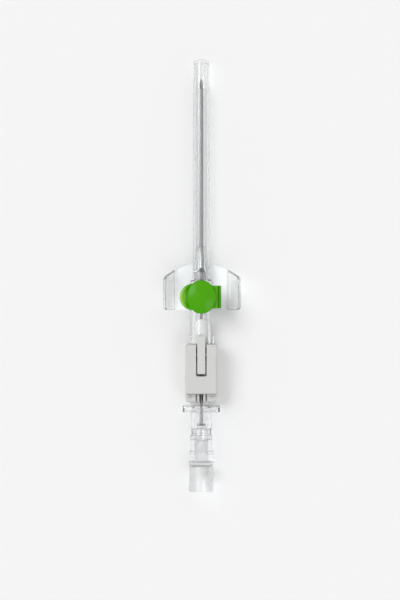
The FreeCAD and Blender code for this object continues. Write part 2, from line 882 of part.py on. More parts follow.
def make_guard_housing(doc, size):
    """Upper half of the guard: a cover whose top is slotted for the lever and hangs its pivot ears."""
    body = new_body(doc, "guard_housing")
    half = size.guard_width / 2
    front = guard_front(size)
    rear = -size.top_length
    top = size.guard_top
    wall = size.guard_wall
    extrude(body, "cover", "XY_Plane", size.guard_split, top,
            lambda s: draw_rectangle(s, -half, half, rear, front))
    round_edges(body, "corners", size.guard_corner,
                lambda a, b: upright(a, b) and near(abs(a.x), half.value) and near(a.y, front.value))
    bevel_edges(body, "top_edge", size.guard_bevel,
                lambda a, b: near(a.z, top.value) and near(b.z, top.value))
    extrude(body, "inside", "XY_Plane", size.guard_split, top - wall,
            lambda s: draw_rectangle(s, -half + wall, half - wall, rear + wall, front - wall), cut=True)
    nose_way = luer_radius(size, 0)
    extrude(body, "nose_way", "XZ_Plane", front - wall, front,
            lambda s: draw_circle(s, 0, 0, nose_way), cut=True)
    extrude(body, "front_band", "XY_Plane", top - size.front_band_step, top,
            lambda s: draw_rectangle(s, -half, half, front - size.front_band, front), cut=True)
    slot = size.slot_width / 2
    slot_floor = top - wall - size.seat_gap * 2
    extrude(body, "lever_slot", "XY_Plane", slot_floor, top,
            lambda s: draw_rectangle(s, -slot, slot, front - size.slot_length, front), cut=True)
    ear_front = -size.pivot_behind + size.ear_length / 2
    ear_rear = -size.pivot_behind - size.ear_length / 2
    for side in (-1, 1):
        name = "ear_%s" % ("left" if side < 0 else "right")
        ear_in = (slot + size.seat_gap) * side
        ear_out = (slot + size.seat_gap + size.ear_thick) * side
        extrude(body, name, "XY_Plane", size.ear_bottom, top - wall,
                lambda s: draw_rectangle(s, ear_in, ear_out, ear_rear, ear_front))
    reach = slot + size.seat_gap + size.ear_thick
    hole = size.pivot_radius + size.running_gap
    extrude(body, "pivot_holes", "YZ_Plane", -reach, reach,
            lambda s: draw_circle(s, -size.pivot_behind, size.pivot_height, hole), cut=True)
    return body


def make_latch_lever(doc, size):
    """Rocking lever in the housing's slot, with its nose over the hub's luer tube."""
    body = new_body(doc, "latch_lever")
    half = size.lever_width / 2
    top = size.guard_top - size.front_band_step
    bottom = top - size.lever_thick
    ahead = size.lever_ahead
    pivot = -size.pivot_behind
    extrude(body, "tongue", "XY_Plane", bottom, top,
            lambda s: draw_rectangle(s, -half, half, ahead - size.lever_length, ahead))
    extrude(body, "nib", "XY_Plane", size.luer_tube_radius + size.seat_gap, bottom,
            lambda s: draw_rectangle(s, -half, half, ahead - size.lever_nib, ahead))
    stalk = size.pivot_stalk / 2
    extrude(body, "stalk", "XY_Plane", size.pivot_height, bottom,
            lambda s: draw_rectangle(s, -half, half, pivot - stalk, pivot + stalk))
    extrude(body, "pivot", "YZ_Plane", -size.pivot_reach, size.pivot_reach,
            lambda s: draw_circle(s, pivot, size.pivot_height, size.pivot_radius))
    return body


def make_tip_clip(doc, size):
    """Bent steel strip: a rear plate with the needle's hole and two arms that lean on the needle."""
    body = new_body(doc, "tip_clip")
    thick = size.clip_thick
    back = -(size.top_length - size.guard_wall)
    high = size.clip_height
    low = -(size.axis_height - size.guard_wall)
    lean = size.needle_outer / 2 + size.clip_clear
    upper = back + size.clip_upper_reach
    lower = back + size.clip_lower_reach
    lip = size.clip_lip
    half = size.clip_width / 2
    extrude(body, "strip", "YZ_Plane", -half, half, lambda s: draw_polygon(s, [
        (back, low),
        (back + thick, low),
        (back + thick + lip, low),
        (lower, -lean - thick),
        (lower + lip, -lean - thick - lip),
        (lower + lip + thick, -lean - lip),
        (lower, -lean),
        (back + thick * 2 + lip, low + size.clip_bend),
        (back + thick, low + size.clip_bend),
        (back + thick, high - thick),
        (back + thick + lip, high - thick),
        (upper, lean),
        (upper + lip + thick, lean + lip),
        (upper + lip, lean + thick + lip),
        (upper, lean + thick),
        (back + thick * 2 + lip, high),
        (back, high),
    ]))
    extrude(body, "needle_hole", "XZ_Plane", back, back + thick,
            lambda s: draw_circle(s, 0, 0, size.clip_hole / 2), cut=True)
    return body


def make_needle_hub(doc, size):
    """Clear finger plate with a rim, the chamber tube behind it and the pipe that holds the needle."""
    body = new_body(doc, "needle_hub")
    half = size.plate_width / 2
    front = -size.plate_front
    rear = front - size.plate_depth
    floor = -size.axis_height
    rim = size.plate_rim
    extrude(body, "plate", "XZ_Plane", rear, front,
            lambda s: draw_rectangle(s, -half, half, floor, size.plate_top))
    round_edges(body, "plate_corners", size.plate_corner,
                lambda a, b: lengthwise(a, b) and near(abs(a.x), half.value))
    extrude(body, "dish", "XZ_Plane", rear, front - size.plate_skin,
            lambda s: draw_rectangle(s, -half + rim, half - rim, floor + rim, size.plate_top - rim), cut=True)
    skin = front - size.plate_skin
    tube_end = -size.tube_end
    spigot_end = tube_end - size.spigot_length
    turn(body, "tube", [
        (skin, 0),
        (skin, size.tube_radius),
        (tube_end, size.tube_radius),
        (tube_end, size.spigot_radius),
        (spigot_end, size.spigot_radius),
        (spigot_end, 0),
    ])
    pipe_end = tube_end
    turn(body, "chamber", [
        (-size.pipe_base, size.pipe_radius),
        (-size.pipe_base, size.tube_bore / 2),
        (spigot_end, size.tube_bore / 2),
        (spigot_end, 0),
        (pipe_end, 0),
        (pipe_end, size.pipe_radius),
    ], cut=True)
    bond_front = -size.needle_behind + size.bond_length / 2
    turn(body, "needle_seat", [
        (front, 0),
        (front, size.needle_outer / 2),
        (bond_front, size.needle_outer / 2),
        (bond_front, size.bond_radius),
        (pipe_end, size.bond_radius),
        (pipe_end, 0),
    ], cut=True)
    return body


def make_needle_bond(doc, size):
    """Bead of set adhesive round the needle's rear end, in the pipe's counterbore."""
    body = new_body(doc, "needle_bond")
    front = -size.needle_behind + size.bond_length / 2
    rear = -size.needle_behind
    turn(body, "bead", [
        (front, size.needle_outer / 2),
        (front, size.bond_radius),
        (rear, size.bond_radius),
        (rear, size.needle_outer / 2),
    ])
    return body


def make_flash_chamber(doc, size):
    """Clear chamber pushed over the hub's spigot, with a female luer and its flange at the rear."""
    body = new_body(doc, "flash_chamber")
    front = -size.tube_end
    end = -size.chamber_end
    spigot_end = front - size.spigot_length
    collar_end = front - size.collar_length
    flange = end + size.flange_length
    turn(body, "shell", [
        (front, 0),
        (front, size.collar_radius),
        (collar_end, size.collar_radius),
        (collar_end, size.chamber_radius),
        (flange, size.chamber_radius),
        (flange, size.flange_radius),
        (end, size.flange_radius),
        (end, 0),
    ])
    luer_depth = spigot_end - end - size.seat_gap
    turn(body, "bore", [
        (front, 0),
        (front, size.spigot_radius),
        (spigot_end - size.seat_gap, size.spigot_radius),
        (spigot_end - size.seat_gap, luer_radius(size, luer_depth)),
        (end, luer_radius(size, 0)),
        (end, 0),
    ], cut=True)
    return body


def make_vent_plug(doc, size):
    """Luer plug for the chamber: male nose, double rim, and a body ribbed for the fingers."""
    body = new_body(doc, "vent_plug")
    mouth = -size.chamber_end
    front = -size.plug_front
    rear = front - size.plug_length
    nose = mouth + size.plug_nose_in
    gap = size.running_gap
    rim_end = front - size.plug_rim_length
    body_start = rim_end - size.plug_groove
    groove_radius = size.plug_body_radius - size.plug_groove
    nose_root = luer_radius(size, 0) - gap + (mouth - front) * size.luer_taper / 2
    turn(body, "solid", [
        (nose, 0),
        (nose, luer_radius(size, size.plug_nose_in) - gap),
        (front, nose_root),
        (front, size.plug_rim_radius),
        (rim_end, size.plug_rim_radius),
        (rim_end, groove_radius),
        (body_start, groove_radius),
        (body_start, size.plug_body_radius),
        (rear, size.plug_body_radius),
        (rear, 0),
    ])
    rib = size.plug_rib_width / 2
    extrude(body, "rib", "XZ_Plane", rear, rear + size.plug_rib_length,
            lambda s: draw_rectangle(s, -rib, rib, groove_radius, size.plug_rim_radius))
    first = body.Tip
    ribs = body.newObject("PartDesign::PolarPattern", "ribs")
    ribs.Originals = [first]
    ribs.Axis = (first.Profile[0], ["N_Axis"])
    ribs.Angle = 360
    ribs.Occurrences = int(size.plug_ribs.value)
    ribs.setExpression("Occurrences", size.plug_ribs.formula)
    body.Tip = ribs
    doc.recompute()
    pocket_front = front - size.plug_web
    pocket_rear = rear + size.plug_mouth_depth
    turn(body, "vent_way", [
        (nose, 0),
        (nose, size.plug_nose_bore / 2),
        (pocket_front, size.plug_nose_bore / 2),
        (pocket_front, size.filter_outer / 2),
        (pocket_rear, size.filter_outer / 2),
        (pocket_rear, size.plug_mouth / 2),
        (rear, size.plug_mouth / 2),
        (rear, 0),
    ], cut=True)
    return body


def make_vent_filter(doc, size):
    """Porous disc that lets air out of the plug and holds blood back."""
    body = new_body(doc, "vent_filter")
    front = -(size.plug_front + size.plug_web)
    turn(body, "disc", [
        (front, 0),
        (front, size.filter_outer / 2 - size.running_gap),
        (front - size.filter_thick, size.filter_outer / 2 - size.running_gap),
        (front - size.filter_thick, 0),
    ])
    return body


def write_parts(doc, parts):
    """Stop on any failed object or bad shape, then write one file for each sub-part."""
    for item in doc.Objects:
        if "Invalid" in item.State or "Error" in item.State:
            raise RuntimeError("failed: %s %s" % (item.FullName, item.State))
    for item in parts:
        if item.Shape.isNull() or not item.Shape.isValid():
            raise RuntimeError("bad shape: %s" % item.Label)
        if len(item.Shape.Solids) != 1:
            raise RuntimeError("not one solid: %s has %d" % (item.Label, len(item.Shape.Solids)))
    os.makedirs("parts", exist_ok=True)
    for item in parts:
        item.Shape.exportStep("parts/%s.step" % item.Label)
        box = item.Shape.optimalBoundingBox()
        print("%-15s %8.2f mm3  x %6.2f %6.2f  y %7.2f %7.2f  z %6.2f %6.2f" % (
            item.Label, item.Shape.Volume, box.XMin, box.XMax, box.YMin, box.YMax, box.ZMin, box.ZMax))


def main():
    """Build every sub-part and write it."""
    doc = FreeCAD.newDocument("Cannula")
    size = make_sheet(doc)
    parts = [
        make_needle(doc, size),
        make_catheter_tube(doc, size),
        make_hub_ferrule(doc, size),
        make_catheter_hub(doc, size),
        make_valve_sleeve(doc, size),
        make_wing(doc, size, "wing_left", -1, size.fold_left_angle),
        make_wing(doc, size, "wing_right", 1, size.fold_right_angle),
        make_cap_ring(doc, size),
        make_port_cap(doc, size),
        make_needle_cover(doc, size),
        make_guard_base(doc, size),
        make_guard_housing(doc, size),
        make_latch_lever(doc, size),
        make_tip_clip(doc, size),
        make_needle_hub(doc, size),
        make_needle_bond(doc, size),
        make_flash_chamber(doc, size),
        make_vent_plug(doc, size),
        make_vent_filter(doc, size),
    ]
    doc.recompute()
    write_parts(doc, parts)


main()
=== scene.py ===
"""Looks of a ported, winged intravenous cannula with its needle guard, built round the packed model."""
import json
import math
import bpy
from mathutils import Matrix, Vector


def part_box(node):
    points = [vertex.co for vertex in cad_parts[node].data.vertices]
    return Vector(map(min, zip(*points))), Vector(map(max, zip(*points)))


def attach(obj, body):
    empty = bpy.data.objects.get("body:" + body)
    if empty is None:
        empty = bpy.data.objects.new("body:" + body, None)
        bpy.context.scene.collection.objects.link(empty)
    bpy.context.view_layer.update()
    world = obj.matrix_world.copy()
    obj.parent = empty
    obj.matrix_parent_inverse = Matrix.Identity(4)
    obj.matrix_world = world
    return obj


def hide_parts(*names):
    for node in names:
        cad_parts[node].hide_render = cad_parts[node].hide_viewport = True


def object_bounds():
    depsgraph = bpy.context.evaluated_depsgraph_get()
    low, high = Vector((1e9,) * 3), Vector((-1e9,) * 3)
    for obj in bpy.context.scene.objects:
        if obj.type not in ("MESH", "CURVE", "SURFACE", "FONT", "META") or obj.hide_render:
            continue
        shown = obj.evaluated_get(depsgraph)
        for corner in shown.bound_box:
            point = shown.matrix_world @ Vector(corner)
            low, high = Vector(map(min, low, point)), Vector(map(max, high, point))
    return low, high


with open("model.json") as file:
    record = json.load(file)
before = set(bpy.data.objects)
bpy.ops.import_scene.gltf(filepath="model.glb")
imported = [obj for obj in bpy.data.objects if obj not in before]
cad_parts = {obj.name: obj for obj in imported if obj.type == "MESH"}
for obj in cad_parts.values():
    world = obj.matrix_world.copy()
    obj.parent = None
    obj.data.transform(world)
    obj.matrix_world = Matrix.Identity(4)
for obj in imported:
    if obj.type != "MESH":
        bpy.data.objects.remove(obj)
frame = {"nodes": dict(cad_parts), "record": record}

import types

import bmesh
import bpy
from mathutils import Matrix, Vector

bl_info = {
    "name": "Intravenous cannula",
    "version": (1, 0, 0),
    "blender": (4, 5, 0),
    "location": "View3D > Sidebar > Cannula",
    "description": "Builds the moulded, drawn and ground pieces of a ported, winged cannula",
    "category": "Add Mesh",
}

MM = 0.001
ACROSS = Vector((1, 0, 0))
ALONG = Vector((0, 1, 0))
UP = Vector((0, 0, 1))
PRINCIPLED = "Principled BSDF"

# Steps of a full circle, of a small one, of the cap's dome, of a rounded corner and of a rounded edge
ROUND_STEPS = 96
SMALL_STEPS = 40
DOME_STEPS = 14
CORNER_STEPS = 6
EDGE_STEPS = 3

# Turns in degrees from which an edge is rounded and from which it is drawn sharp
EASED_TURN = 28.0
SHARP_TURN = 35.0

# Millimetres: points this near are one point, and tools reach this far past what they cut
WELD = 1e-4
SPARE = 1.0

# Fits that two or more pieces share, in millimetres
RUNNING_GAP = 0.03
SEAT_GAP = 0.1
PRESS_FIT = 0.02
STEM_RADIUS = 2.8
SOCKET_RADIUS = 2.5
STRAP_HALF = 3.2
BEAD_RADIUS = 0.4
CATHETER_RADIUS = 0.65
ROOT_LENGTH = 3.6
ROOT_BLEND = 0.6
LUER_RADIUS = 2.135
LUER_SLOPE = 0.03

CAD_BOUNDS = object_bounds()
BEHAVIOUR = frame["record"]["behaviour"]
BODY_OF = {node: body for body, nodes in BEHAVIOUR["bodies"].items() for node in nodes}
JOINTS = {joint["name"]: joint for joint in BEHAVIOUR["joints"]}


# Settings

def length(label, size_in_mm, text):
    """A length that is shown in the panel."""
    return bpy.props.FloatProperty(
        name=label, description=text, default=size_in_mm * MM, min=0.0, precision=5, unit="LENGTH"
    )


def colour(label, hex_code, text):
    """A colour that is shown in the panel."""
    return bpy.props.FloatVectorProperty(
        name=label, description=text, default=linear(hex_code), min=0.0, max=1.0, size=4, subtype="COLOR"
    )


def linear(hex_code):
    """Turn an sRGB hex colour into linear red, green, blue and alpha."""
    channels = []
    for place in (0, 2, 4):
        share = int(hex_code[place:place + 2], 16) / 255
        channels.append(share / 12.92 if share <= 0.04045 else ((share + 0.055) / 1.055) ** 2.4)
    return (*channels, 1.0)


def angle(label, degrees, text):
    """An angle that is shown in the panel."""
    return bpy.props.FloatProperty(
        name=label, description=text, default=math.radians(degrees), subtype="ANGLE"
    )


def number(label, value, text):
    """A plain number that is shown in the panel."""
    return bpy.props.FloatProperty(name=label, description=text, default=value, min=0.0)


def count(label, value, text):
    """A number of like things that is shown in the panel."""
    return bpy.props.IntProperty(name=label, description=text, default=value, min=1)


def group(kind):
    """A group of settings, named by its docstring."""
    return bpy.props.PointerProperty(type=kind, name=kind.__doc__.strip("."), description=kind.__doc__)


def own_settings(settings):
    """The properties that a group of settings adds to Blender's own."""
    return [item for item in settings.bl_rna.properties if item.identifier not in ("rna_type", "name")]


def sizes(settings):
    """A group's values under their own names, with its lengths in millimetres."""
    found = types.SimpleNamespace()
    for item in own_settings(settings):
        value = getattr(settings, item.identifier)
        in_metres = item.type == "FLOAT" and item.unit == "LENGTH"
        setattr(found, item.identifier, value / MM if in_metres else value)
    return found


class NeedleSettings(bpy.types.PropertyGroup):
    """Needle and catheter tube."""
    outer: length("Needle outside", 0.45, "Outer radius")
    bore: length("Needle bore", 0.31, "Radius")
    point: length("Point", 75.8, "Where the bevel would reach the needle's lower side")
    bevel: angle("Bevel", 15, "Angle of the main facet")
    lancet: angle("Lancet", 22, "Angle of the two side facets")
    lancet_turn: angle("Lancet turn", 32, "Turn of the side facets")
    catheter_bore: length("Catheter bore", 0.48, "Radius")
    tip_wall: length("Catheter tip wall", 0.06, "Thickness left at the very tip")
    tip_taper: length("Catheter taper", 3.0, "Length of the drawn-down tip")


class HubSettings(bpy.types.PropertyGroup):
    """Catheter hub."""
    tube_radius: length("Luer tube", 3.15, "Outer radius")
    body_radius: length("Body", 3.30, "Outer radius round the port")
    body_rear: length("Body rear", 8.4, "From the luer mouth")
    body_front: length("Body front", 18.2, "From the luer mouth")
    body_bevel: length("Body bevel", 0.5, "Size at both ends")
    seat_radius: length("Cover seat", 2.05, "Radius of the seat under the needle cover")
    cone_start: length("Cone start", 22.4, "Where the nose tapers")
    nose_radius: length("Nose", 1.30, "Radius at its end")
    lug_length: length("Lug length", 2.3, "Along the luer tube")
    lug_reach: length("Lug reach", 3.70, "How far the lugs stand out")
    lug_half_width: length("Lug half width", 1.7, "From the middle up and down")
    port_bore: length("Port bore", 1.80, "Radius")
    shelf_thick: length("Saddle", 0.8, "Thickness")
    shelf_front: length("Saddle front", 21.2, "At the sides")
    shelf_middle_front: length("Saddle middle front", 23.5, "Under the needle")
    shelf_rear: length("Saddle rear", 9.6, "From the luer mouth")
    edge: length("Edge", 0.12, "Rounding")


class WingSettings(bpy.types.PropertyGroup):
    """Both wings."""
    span: length("Span", 7.7, "From root to tip")
    web: length("Web", 0.5, "Thickness")
    pad: length("Pad", 0.9, "Thickness of the grip")
    web_width: length("Web width", 1.4, "From the root outwards")
    tip_front: length("Tip front", 18.9, "From the luer mouth")
    corner: length("Corner", 1.4, "Rounding at the tip")
    rib_width: length("Rib width", 0.4, "Across a rib")
    rib_height: length("Rib height", 0.14, "Over the grip")
    rib_spacing: length("Rib spacing", 1.05, "From rib to rib")
    rib_first: length("First rib", 2.6, "From the root")
    rib_end: length("Rib ends", 0.9, "How far they stop short of the edges")
    rib_count: count("Ribs", 5, "Grip ribs on a wing")
    edge: length("Edge", 0.16, "Rounding")


class CapSettings(bpy.types.PropertyGroup):
    """Green ring and port cap."""
    ring_radius: length("Ring", 3.60, "Outer radius")
    ring_thick: length("Ring thickness", 1.1, "Of the strap's foot too")
    strap_thick: length("Upright", 0.7, "Thickness")
    lid_thick: length("Lid", 0.8, "Thickness")
    bead: length("Hinge bead", 0.35, "Radius")
    bend_gap: length("Bend", 0.35, "Thickness left")
    tab_radius: length("Tab", 3.75, "Radius")
    tab_lip: length("Tab lip", 0.45, "Height")
    tab_lip_width: length("Tab lip width", 0.7, "Across the lip")
    disc_half_width: length("Button half width", 4.10, "Of the oval")
    disc_half_length: length("Button half length", 4.75, "Of the oval")
    disc_dome: length("Dome", 0.85, "Rise of the button's top")
    rim_round: length("Button edge", 0.30, "Rounding")
    plug_radius: length("Plug", 1.72, "Radius")
    plug_tip: length("Plug tip", 1.25, "Radius")
    plug_depth: length("Plug depth", 1.9, "Under the lid")
    plug_land: length("Plug land", 0.4, "Length of the straight part")
    edge: length("Edge", 0.12, "Rounding")


class CoverSettings(bpy.types.PropertyGroup):
    """Needle cover."""
    wall: length("Wall", 0.50, "Thickness")
    tube_radius: length("Tube", 2.25, "Outer radius")
    seat_length: length("Seat", 4.0, "Length of the mouth's straight bore")
    flare_length: length("Flare", 8.1, "Length")
    end_wall: length("End wall", 1.1, "Thickness")
    end_round: length("End rounding", 0.55, "Radius")
    edge: length("Edge", 0.12, "Rounding at the mouth")


class GuardSettings(bpy.types.PropertyGroup):
    """Needle guard and latch lever."""
    wall: length("Wall", 1.0, "Thickness")
    corner: length("Corner", 0.9, "Rounding of the upright edges")
    edge: length("Edge", 0.35, "Rounding of the long edges")
    top_edge: length("Top edge", 0.7, "Rounding of the housing's upper edges")
    fine_edge: length("Fine edge", 0.06, "Rounding")
    slot_half: length("Slot half width", 1.50, "Of the lever's slot")
    slot_length: length("Slot length", 9.15, "Of the lever's slot")
    band: length("Front band", 3.4, "Length")
    band_step: length("Band step", 0.2, "Down to the band")
    band_slope: length("Band slope", 0.3, "Length of that step")
    trough: length("Trough", 0.55, "Half width, over the needle")
    rail_place: length("Side slots", 1.4, "From the middle")
    rail_half: length("Side slot half width", 0.25, "Of those slots")
    rail_depth: length("Side slot depth", 1.1, "Of those slots")
    mark_place: length("Mark place", 3.1, "From the middle to peg hole and slit")
    mark_ahead: length("Mark ahead", 0.4, "Forward of the block's middle")
    mark_depth: length("Mark depth", 0.4, "Of peg hole and slit")
    hole_radius: length("Peg hole", 0.48, "Radius")
    slit_half: length("Slit half length", 0.75, "Across the guard")
    slit_width: length("Slit width", 0.32, "Along the guard")
    lever_half: length("Lever half width", 1.15, "Across the latch lever")
    lever_thick: length("Lever", 0.75, "Thickness")
    lever_nib: length("Lever nib", 0.8, "Length")
    pivot_radius: length("Pivot", 0.45, "Radius of the lever's pin")


class ChamberSettings(bpy.types.PropertyGroup):
    """Needle hub, flash chamber and vent plug."""
    skin: length("Plate", 0.6, "Thickness of the finger plate")
    plate_depth: length("Plate depth", 1.8, "With its rim")
    rim: length("Rim", 0.7, "Thickness")
    corner: length("Plate corner", 1.2, "Rounding")
    tube_radius: length("Tube", 2.90, "Outer radius")
    tube_bore: length("Tube bore", 2.10, "Radius")
    spigot_length: length("Spigot length", 3.0, "In the flash chamber")
    pipe_radius: length("Pipe", 1.30, "Outer radius, round the needle")
    collar_radius: length("Collar", 2.85, "Radius, on the flash chamber")
    collar_length: length("Collar length", 1.8, "Along the flash chamber")
    chamber_radius: length("Chamber", 3.15, "Outer radius")
    flange_length: length("Flange", 0.9, "Length, on the flash chamber")
    plug_front: length("Plug front", 33.6, "Behind the hub's luer mouth")
    plug_rim: length("Plug rim", 0.7, "Length")
    plug_groove: length("Plug groove", 0.3, "Width and depth")
    plug_body: length("Plug body", 3.50, "Radius")
    plug_rib_length: length("Plug ribs", 3.2, "Length")
    plug_rib_half: length("Plug rib half width", 0.25, "From a rib's middle")
    plug_ribs: count("Ribs", 12, "Round the plug")
    mouth_radius: length("Plug mouth", 2.6, "Radius of the open end")
    mouth_depth: length("Mouth depth", 4.2, "Of the open end")
    edge: length("Edge", 0.10, "Rounding")


class FinishSettings(bpy.types.PropertyGroup):
    """Colours of the coloured plastics."""
    green: colour("Green", "4CA300", "Colour of the cap and its ring, which tells the gauge")
    guard: colour("Guard", "D0D0CE", "Colour of the needle guard")
    lever: colour("Lever", "D2D3D0", "Colour of the latch lever")


class StageSettings(bpy.types.PropertyGroup):
    """Floor, lights and camera."""
    floor_colour: colour("Floor", "F6F6F6", "Colour of the floor")
    background: colour("Background", "F2F3F4", "Colour seen behind the floor")
    walls: colour("Walls", "B0B2B4", "Colour of the room's walls, which only glass and metal mirror")
    wall_low: number("Wall's middle", 0.10, "Height of a direction where the walls are darkest")
    wall_high: number("Wall's top", 0.55, "Height of a direction where the ceiling begins")
    sky: number("Sky", 0.62, "Strength of the even light")
    key: number("Key light", 1.05, "Strength of the key light, from the upper left")
    key_width: angle("Key width", 30, "How wide the key light looks")
    fill: number("Fill light", 0.42, "Strength of the fill light, from the lower right")
    fill_width: angle("Fill width", 28, "How wide the fill light looks")
    centre_left: length("Centre to the left", 0.37, "How far the picture's centre lies left of the needle")
    centre_along: length("Centre along", 12.44, "Where the picture's centre falls along the needle")
    floor_gap: length("Floor gap", 0.04, "Air left between the object and the floor")
    seen_height: length("Seen height", 171.4, "Height of the picture at the needle's axis")
    lens: number("Lens", 120.0, "Focal length in millimetres")


class CannulaSettings(bpy.types.PropertyGroup):
    """All settings of the object."""
    needle: group(NeedleSettings)
    hub: group(HubSettings)
    wing: group(WingSettings)
    cap: group(CapSettings)
    cover: group(CoverSettings)
    guard: group(GuardSettings)
    chamber: group(ChamberSettings)
    finish: group(FinishSettings)
    stage: group(StageSettings)


# Forms, worked in millimetres

def box_mm(node):
    """Lowest and highest corners of a node in millimetres."""
    low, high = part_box(node)
    return Vector(low) / MM, Vector(high) / MM


def hinge_mm(joint):
    """Place of a hinge in millimetres."""
    return Vector(JOINTS[joint]["pos_m"]) / MM


def turned(profile, axis=ALONG, place=(0, 0, 0), steps=ROUND_STEPS):
    """Spin a closed profile of (place on the axis, radius) points about an axis."""
    form = bmesh.new()
    aside = UP if axis == ACROSS else ACROSS
    points = [form.verts.new(axis * on_axis + aside * radius) for on_axis, radius in profile]
    sides = []
    for index, point in enumerate(points):
        after = (index + 1) % len(points)
        if profile[index][1] > 0 or profile[after][1] > 0:
            sides.append(form.edges.new((point, points[after])))
    bmesh.ops.spin(
        form, geom=points + sides, axis=axis, cent=(0, 0, 0), angle=math.tau, steps=steps, use_merge=True
    )
    bmesh.ops.remove_doubles(form, verts=form.verts, dist=WELD)
    bmesh.ops.recalc_face_normals(form, faces=form.faces)
    bmesh.ops.translate(form, verts=form.verts, vec=place)
    return form


def stepped(start, *sections):
    """Profile of round sections one behind the other, each (radius, place where it ends)."""
    profile = [(start, 0)]
    for radius, end in sections:
        profile += [(profile[-1][0], radius), (end, radius)]
    return profile + [(profile[-1][0], 0)]


def rod(radius, start, end, axis=ALONG, place=(0, 0, 0), steps=ROUND_STEPS):
    """A plain round rod."""
    return turned(stepped(start, (radius, end)), axis, place, steps)


def slab(outline, start, end, axis=UP, corner=0.0, corners=None):
    """Extrude a flat outline along an axis, with all or some of its corners rounded."""
    form = bmesh.new()
    side, other = [way for way in (ACROSS, ALONG, UP) if way != axis]
    points = [form.verts.new(side * first + other * second + axis * start) for first, second in outline]
    form.faces.new(points)
    if corner:
        chosen = points if corners is None else [points[index] for index in corners]
        bmesh.ops.bevel(
            form, geom=chosen, offset=corner, offset_type="OFFSET", affect="VERTICES",
            segments=CORNER_STEPS, profile=0.5, material=-1, clamp_overlap=True,
        )
    made = bmesh.ops.extrude_face_region(form, geom=form.faces[:])
    moved = [item for item in made["geom"] if isinstance(item, bmesh.types.BMVert)]
    bmesh.ops.translate(form, verts=moved, vec=axis * (end - start))
    bmesh.ops.recalc_face_normals(form, faces=form.faces)
    return form


def block(left, right, bottom, top, start, end, axis=UP, corner=0.0, corners=None):
    """A rectangular slab between six coordinates."""
    outline = [(left, bottom), (right, bottom), (right, top), (left, top)]
    return slab(outline, start, end, axis, corner, corners)


def eased(form, radius, wanted=None):
    """Round the sharp edges, or only those whose two ends meet a test."""
    chosen = []
    for edge in form.edges:
        if edge.is_manifold and edge.calc_face_angle() > math.radians(EASED_TURN):
            if wanted is None or wanted(*[vert.co for vert in edge.verts]):
                chosen.append(edge)
    bmesh.ops.bevel(
        form, geom=chosen, offset=radius, offset_type="OFFSET", affect="EDGES", segments=EDGE_STEPS,
        profile=0.5, material=-1, clamp_overlap=True,
    )
    return form


def near(first, second):
    """Whether two coordinates are the same."""
    return abs(first - second) < WELD


def luer(depth):
    """Radius of a luer cone at a depth from its mouth."""
    return LUER_RADIUS - depth * LUER_SLOPE


def bend(on_axis, radius, size, start, end, steps=8):
    """Points of an arc round (on_axis, radius), from one angle to another in degrees."""
    points = []
    for step in range(steps + 1):
        turn = math.radians(start + (end - start) * step / steps)
        points.append((on_axis + size * math.cos(turn), radius + size * math.sin(turn)))
    return points


def shown(name, data):
    """Put data into the scene as an object."""
    item = bpy.data.objects.new(name, data)
    bpy.context.scene.collection.objects.link(item)
    return item


def placed(name, form):
    """Put a form into the scene as an object."""
    mesh = bpy.data.meshes.new(name)
    form.to_mesh(mesh)
    form.free()
    return shown(name, mesh)


def combined(base, tool, operation):
    """Join or cut two closed forms and give back the result."""
    pair = [placed("working", form) for form in (base, tool)]
    step = pair[0].modifiers.new("combine", "BOOLEAN")
    step.operation = operation
    step.solver = "EXACT"
    step.object = pair[1]
    worked = pair[0].evaluated_get(bpy.context.evaluated_depsgraph_get())
    result = bmesh.new()
    result.from_mesh(worked.to_mesh())
    worked.to_mesh_clear()
    for item in pair:
        mesh = item.data
        bpy.data.objects.remove(item)
        bpy.data.meshes.remove(mesh)
    bmesh.ops.remove_doubles(result, verts=result.verts, dist=WELD)
    return result


def joined(base, *others):
    """One closed form from several that overlap."""
    for other in others:
        base = combined(base, other, "UNION")
    return base


def cut(base, *tools):
    """A form with others taken out of it."""
    for tool in tools:
        base = combined(base, tool, "DIFFERENCE")
    return base


def fitted(form, name, node, material):
    """Make a worked form the piece that stands for a CAD node."""
    open_edges = sum(not edge.is_manifold for edge in form.edges)
    if open_edges:
        raise RuntimeError("%s has %d open edges" % (name, open_edges))
    for face in form.faces:
        face.smooth = True
    bmesh.ops.scale(form, vec=(MM, MM, MM), verts=form.verts)
    piece = placed(name, form)
    piece.data.set_sharp_from_angle(angle=math.radians(SHARP_TURN))
    piece.data.materials.append(material)
    even = piece.modifiers.new("even_normals", "WEIGHTED_NORMAL")
    even.keep_sharp = True
    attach(piece, BODY_OF[node])
    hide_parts(node)


def dressed(node, material):
    """Give a CAD node, whose shape stays as it is, its material."""
    for slot in frame["nodes"][node].material_slots:
        slot.material = material


# Materials

# Size of the patches in which a moulding's gloss wanders, in millimetres
PATCH = 4.0


def add(tree, kind, values=None, links=None, **settings):
    """Add a node with its settings, its plain values and its links."""
    node = tree.nodes.new(kind)
    for name, value in settings.items():
        setattr(node, name, value)
    for name, value in (values or {}).items():
        node.inputs[name].default_value = value
    for name, socket in (links or {}).items():
        tree.links.new(socket, node.inputs[name])
    return node


def new_material(name, base):
    """Start a material with its colour and give back its tree and shader too."""
    material = bpy.data.materials.new(name)
    material.use_nodes = True
    tree = material.node_tree
    shader = tree.nodes[PRINCIPLED]
    shader.inputs["Base Color"].default_value = base
    return material, tree, shader


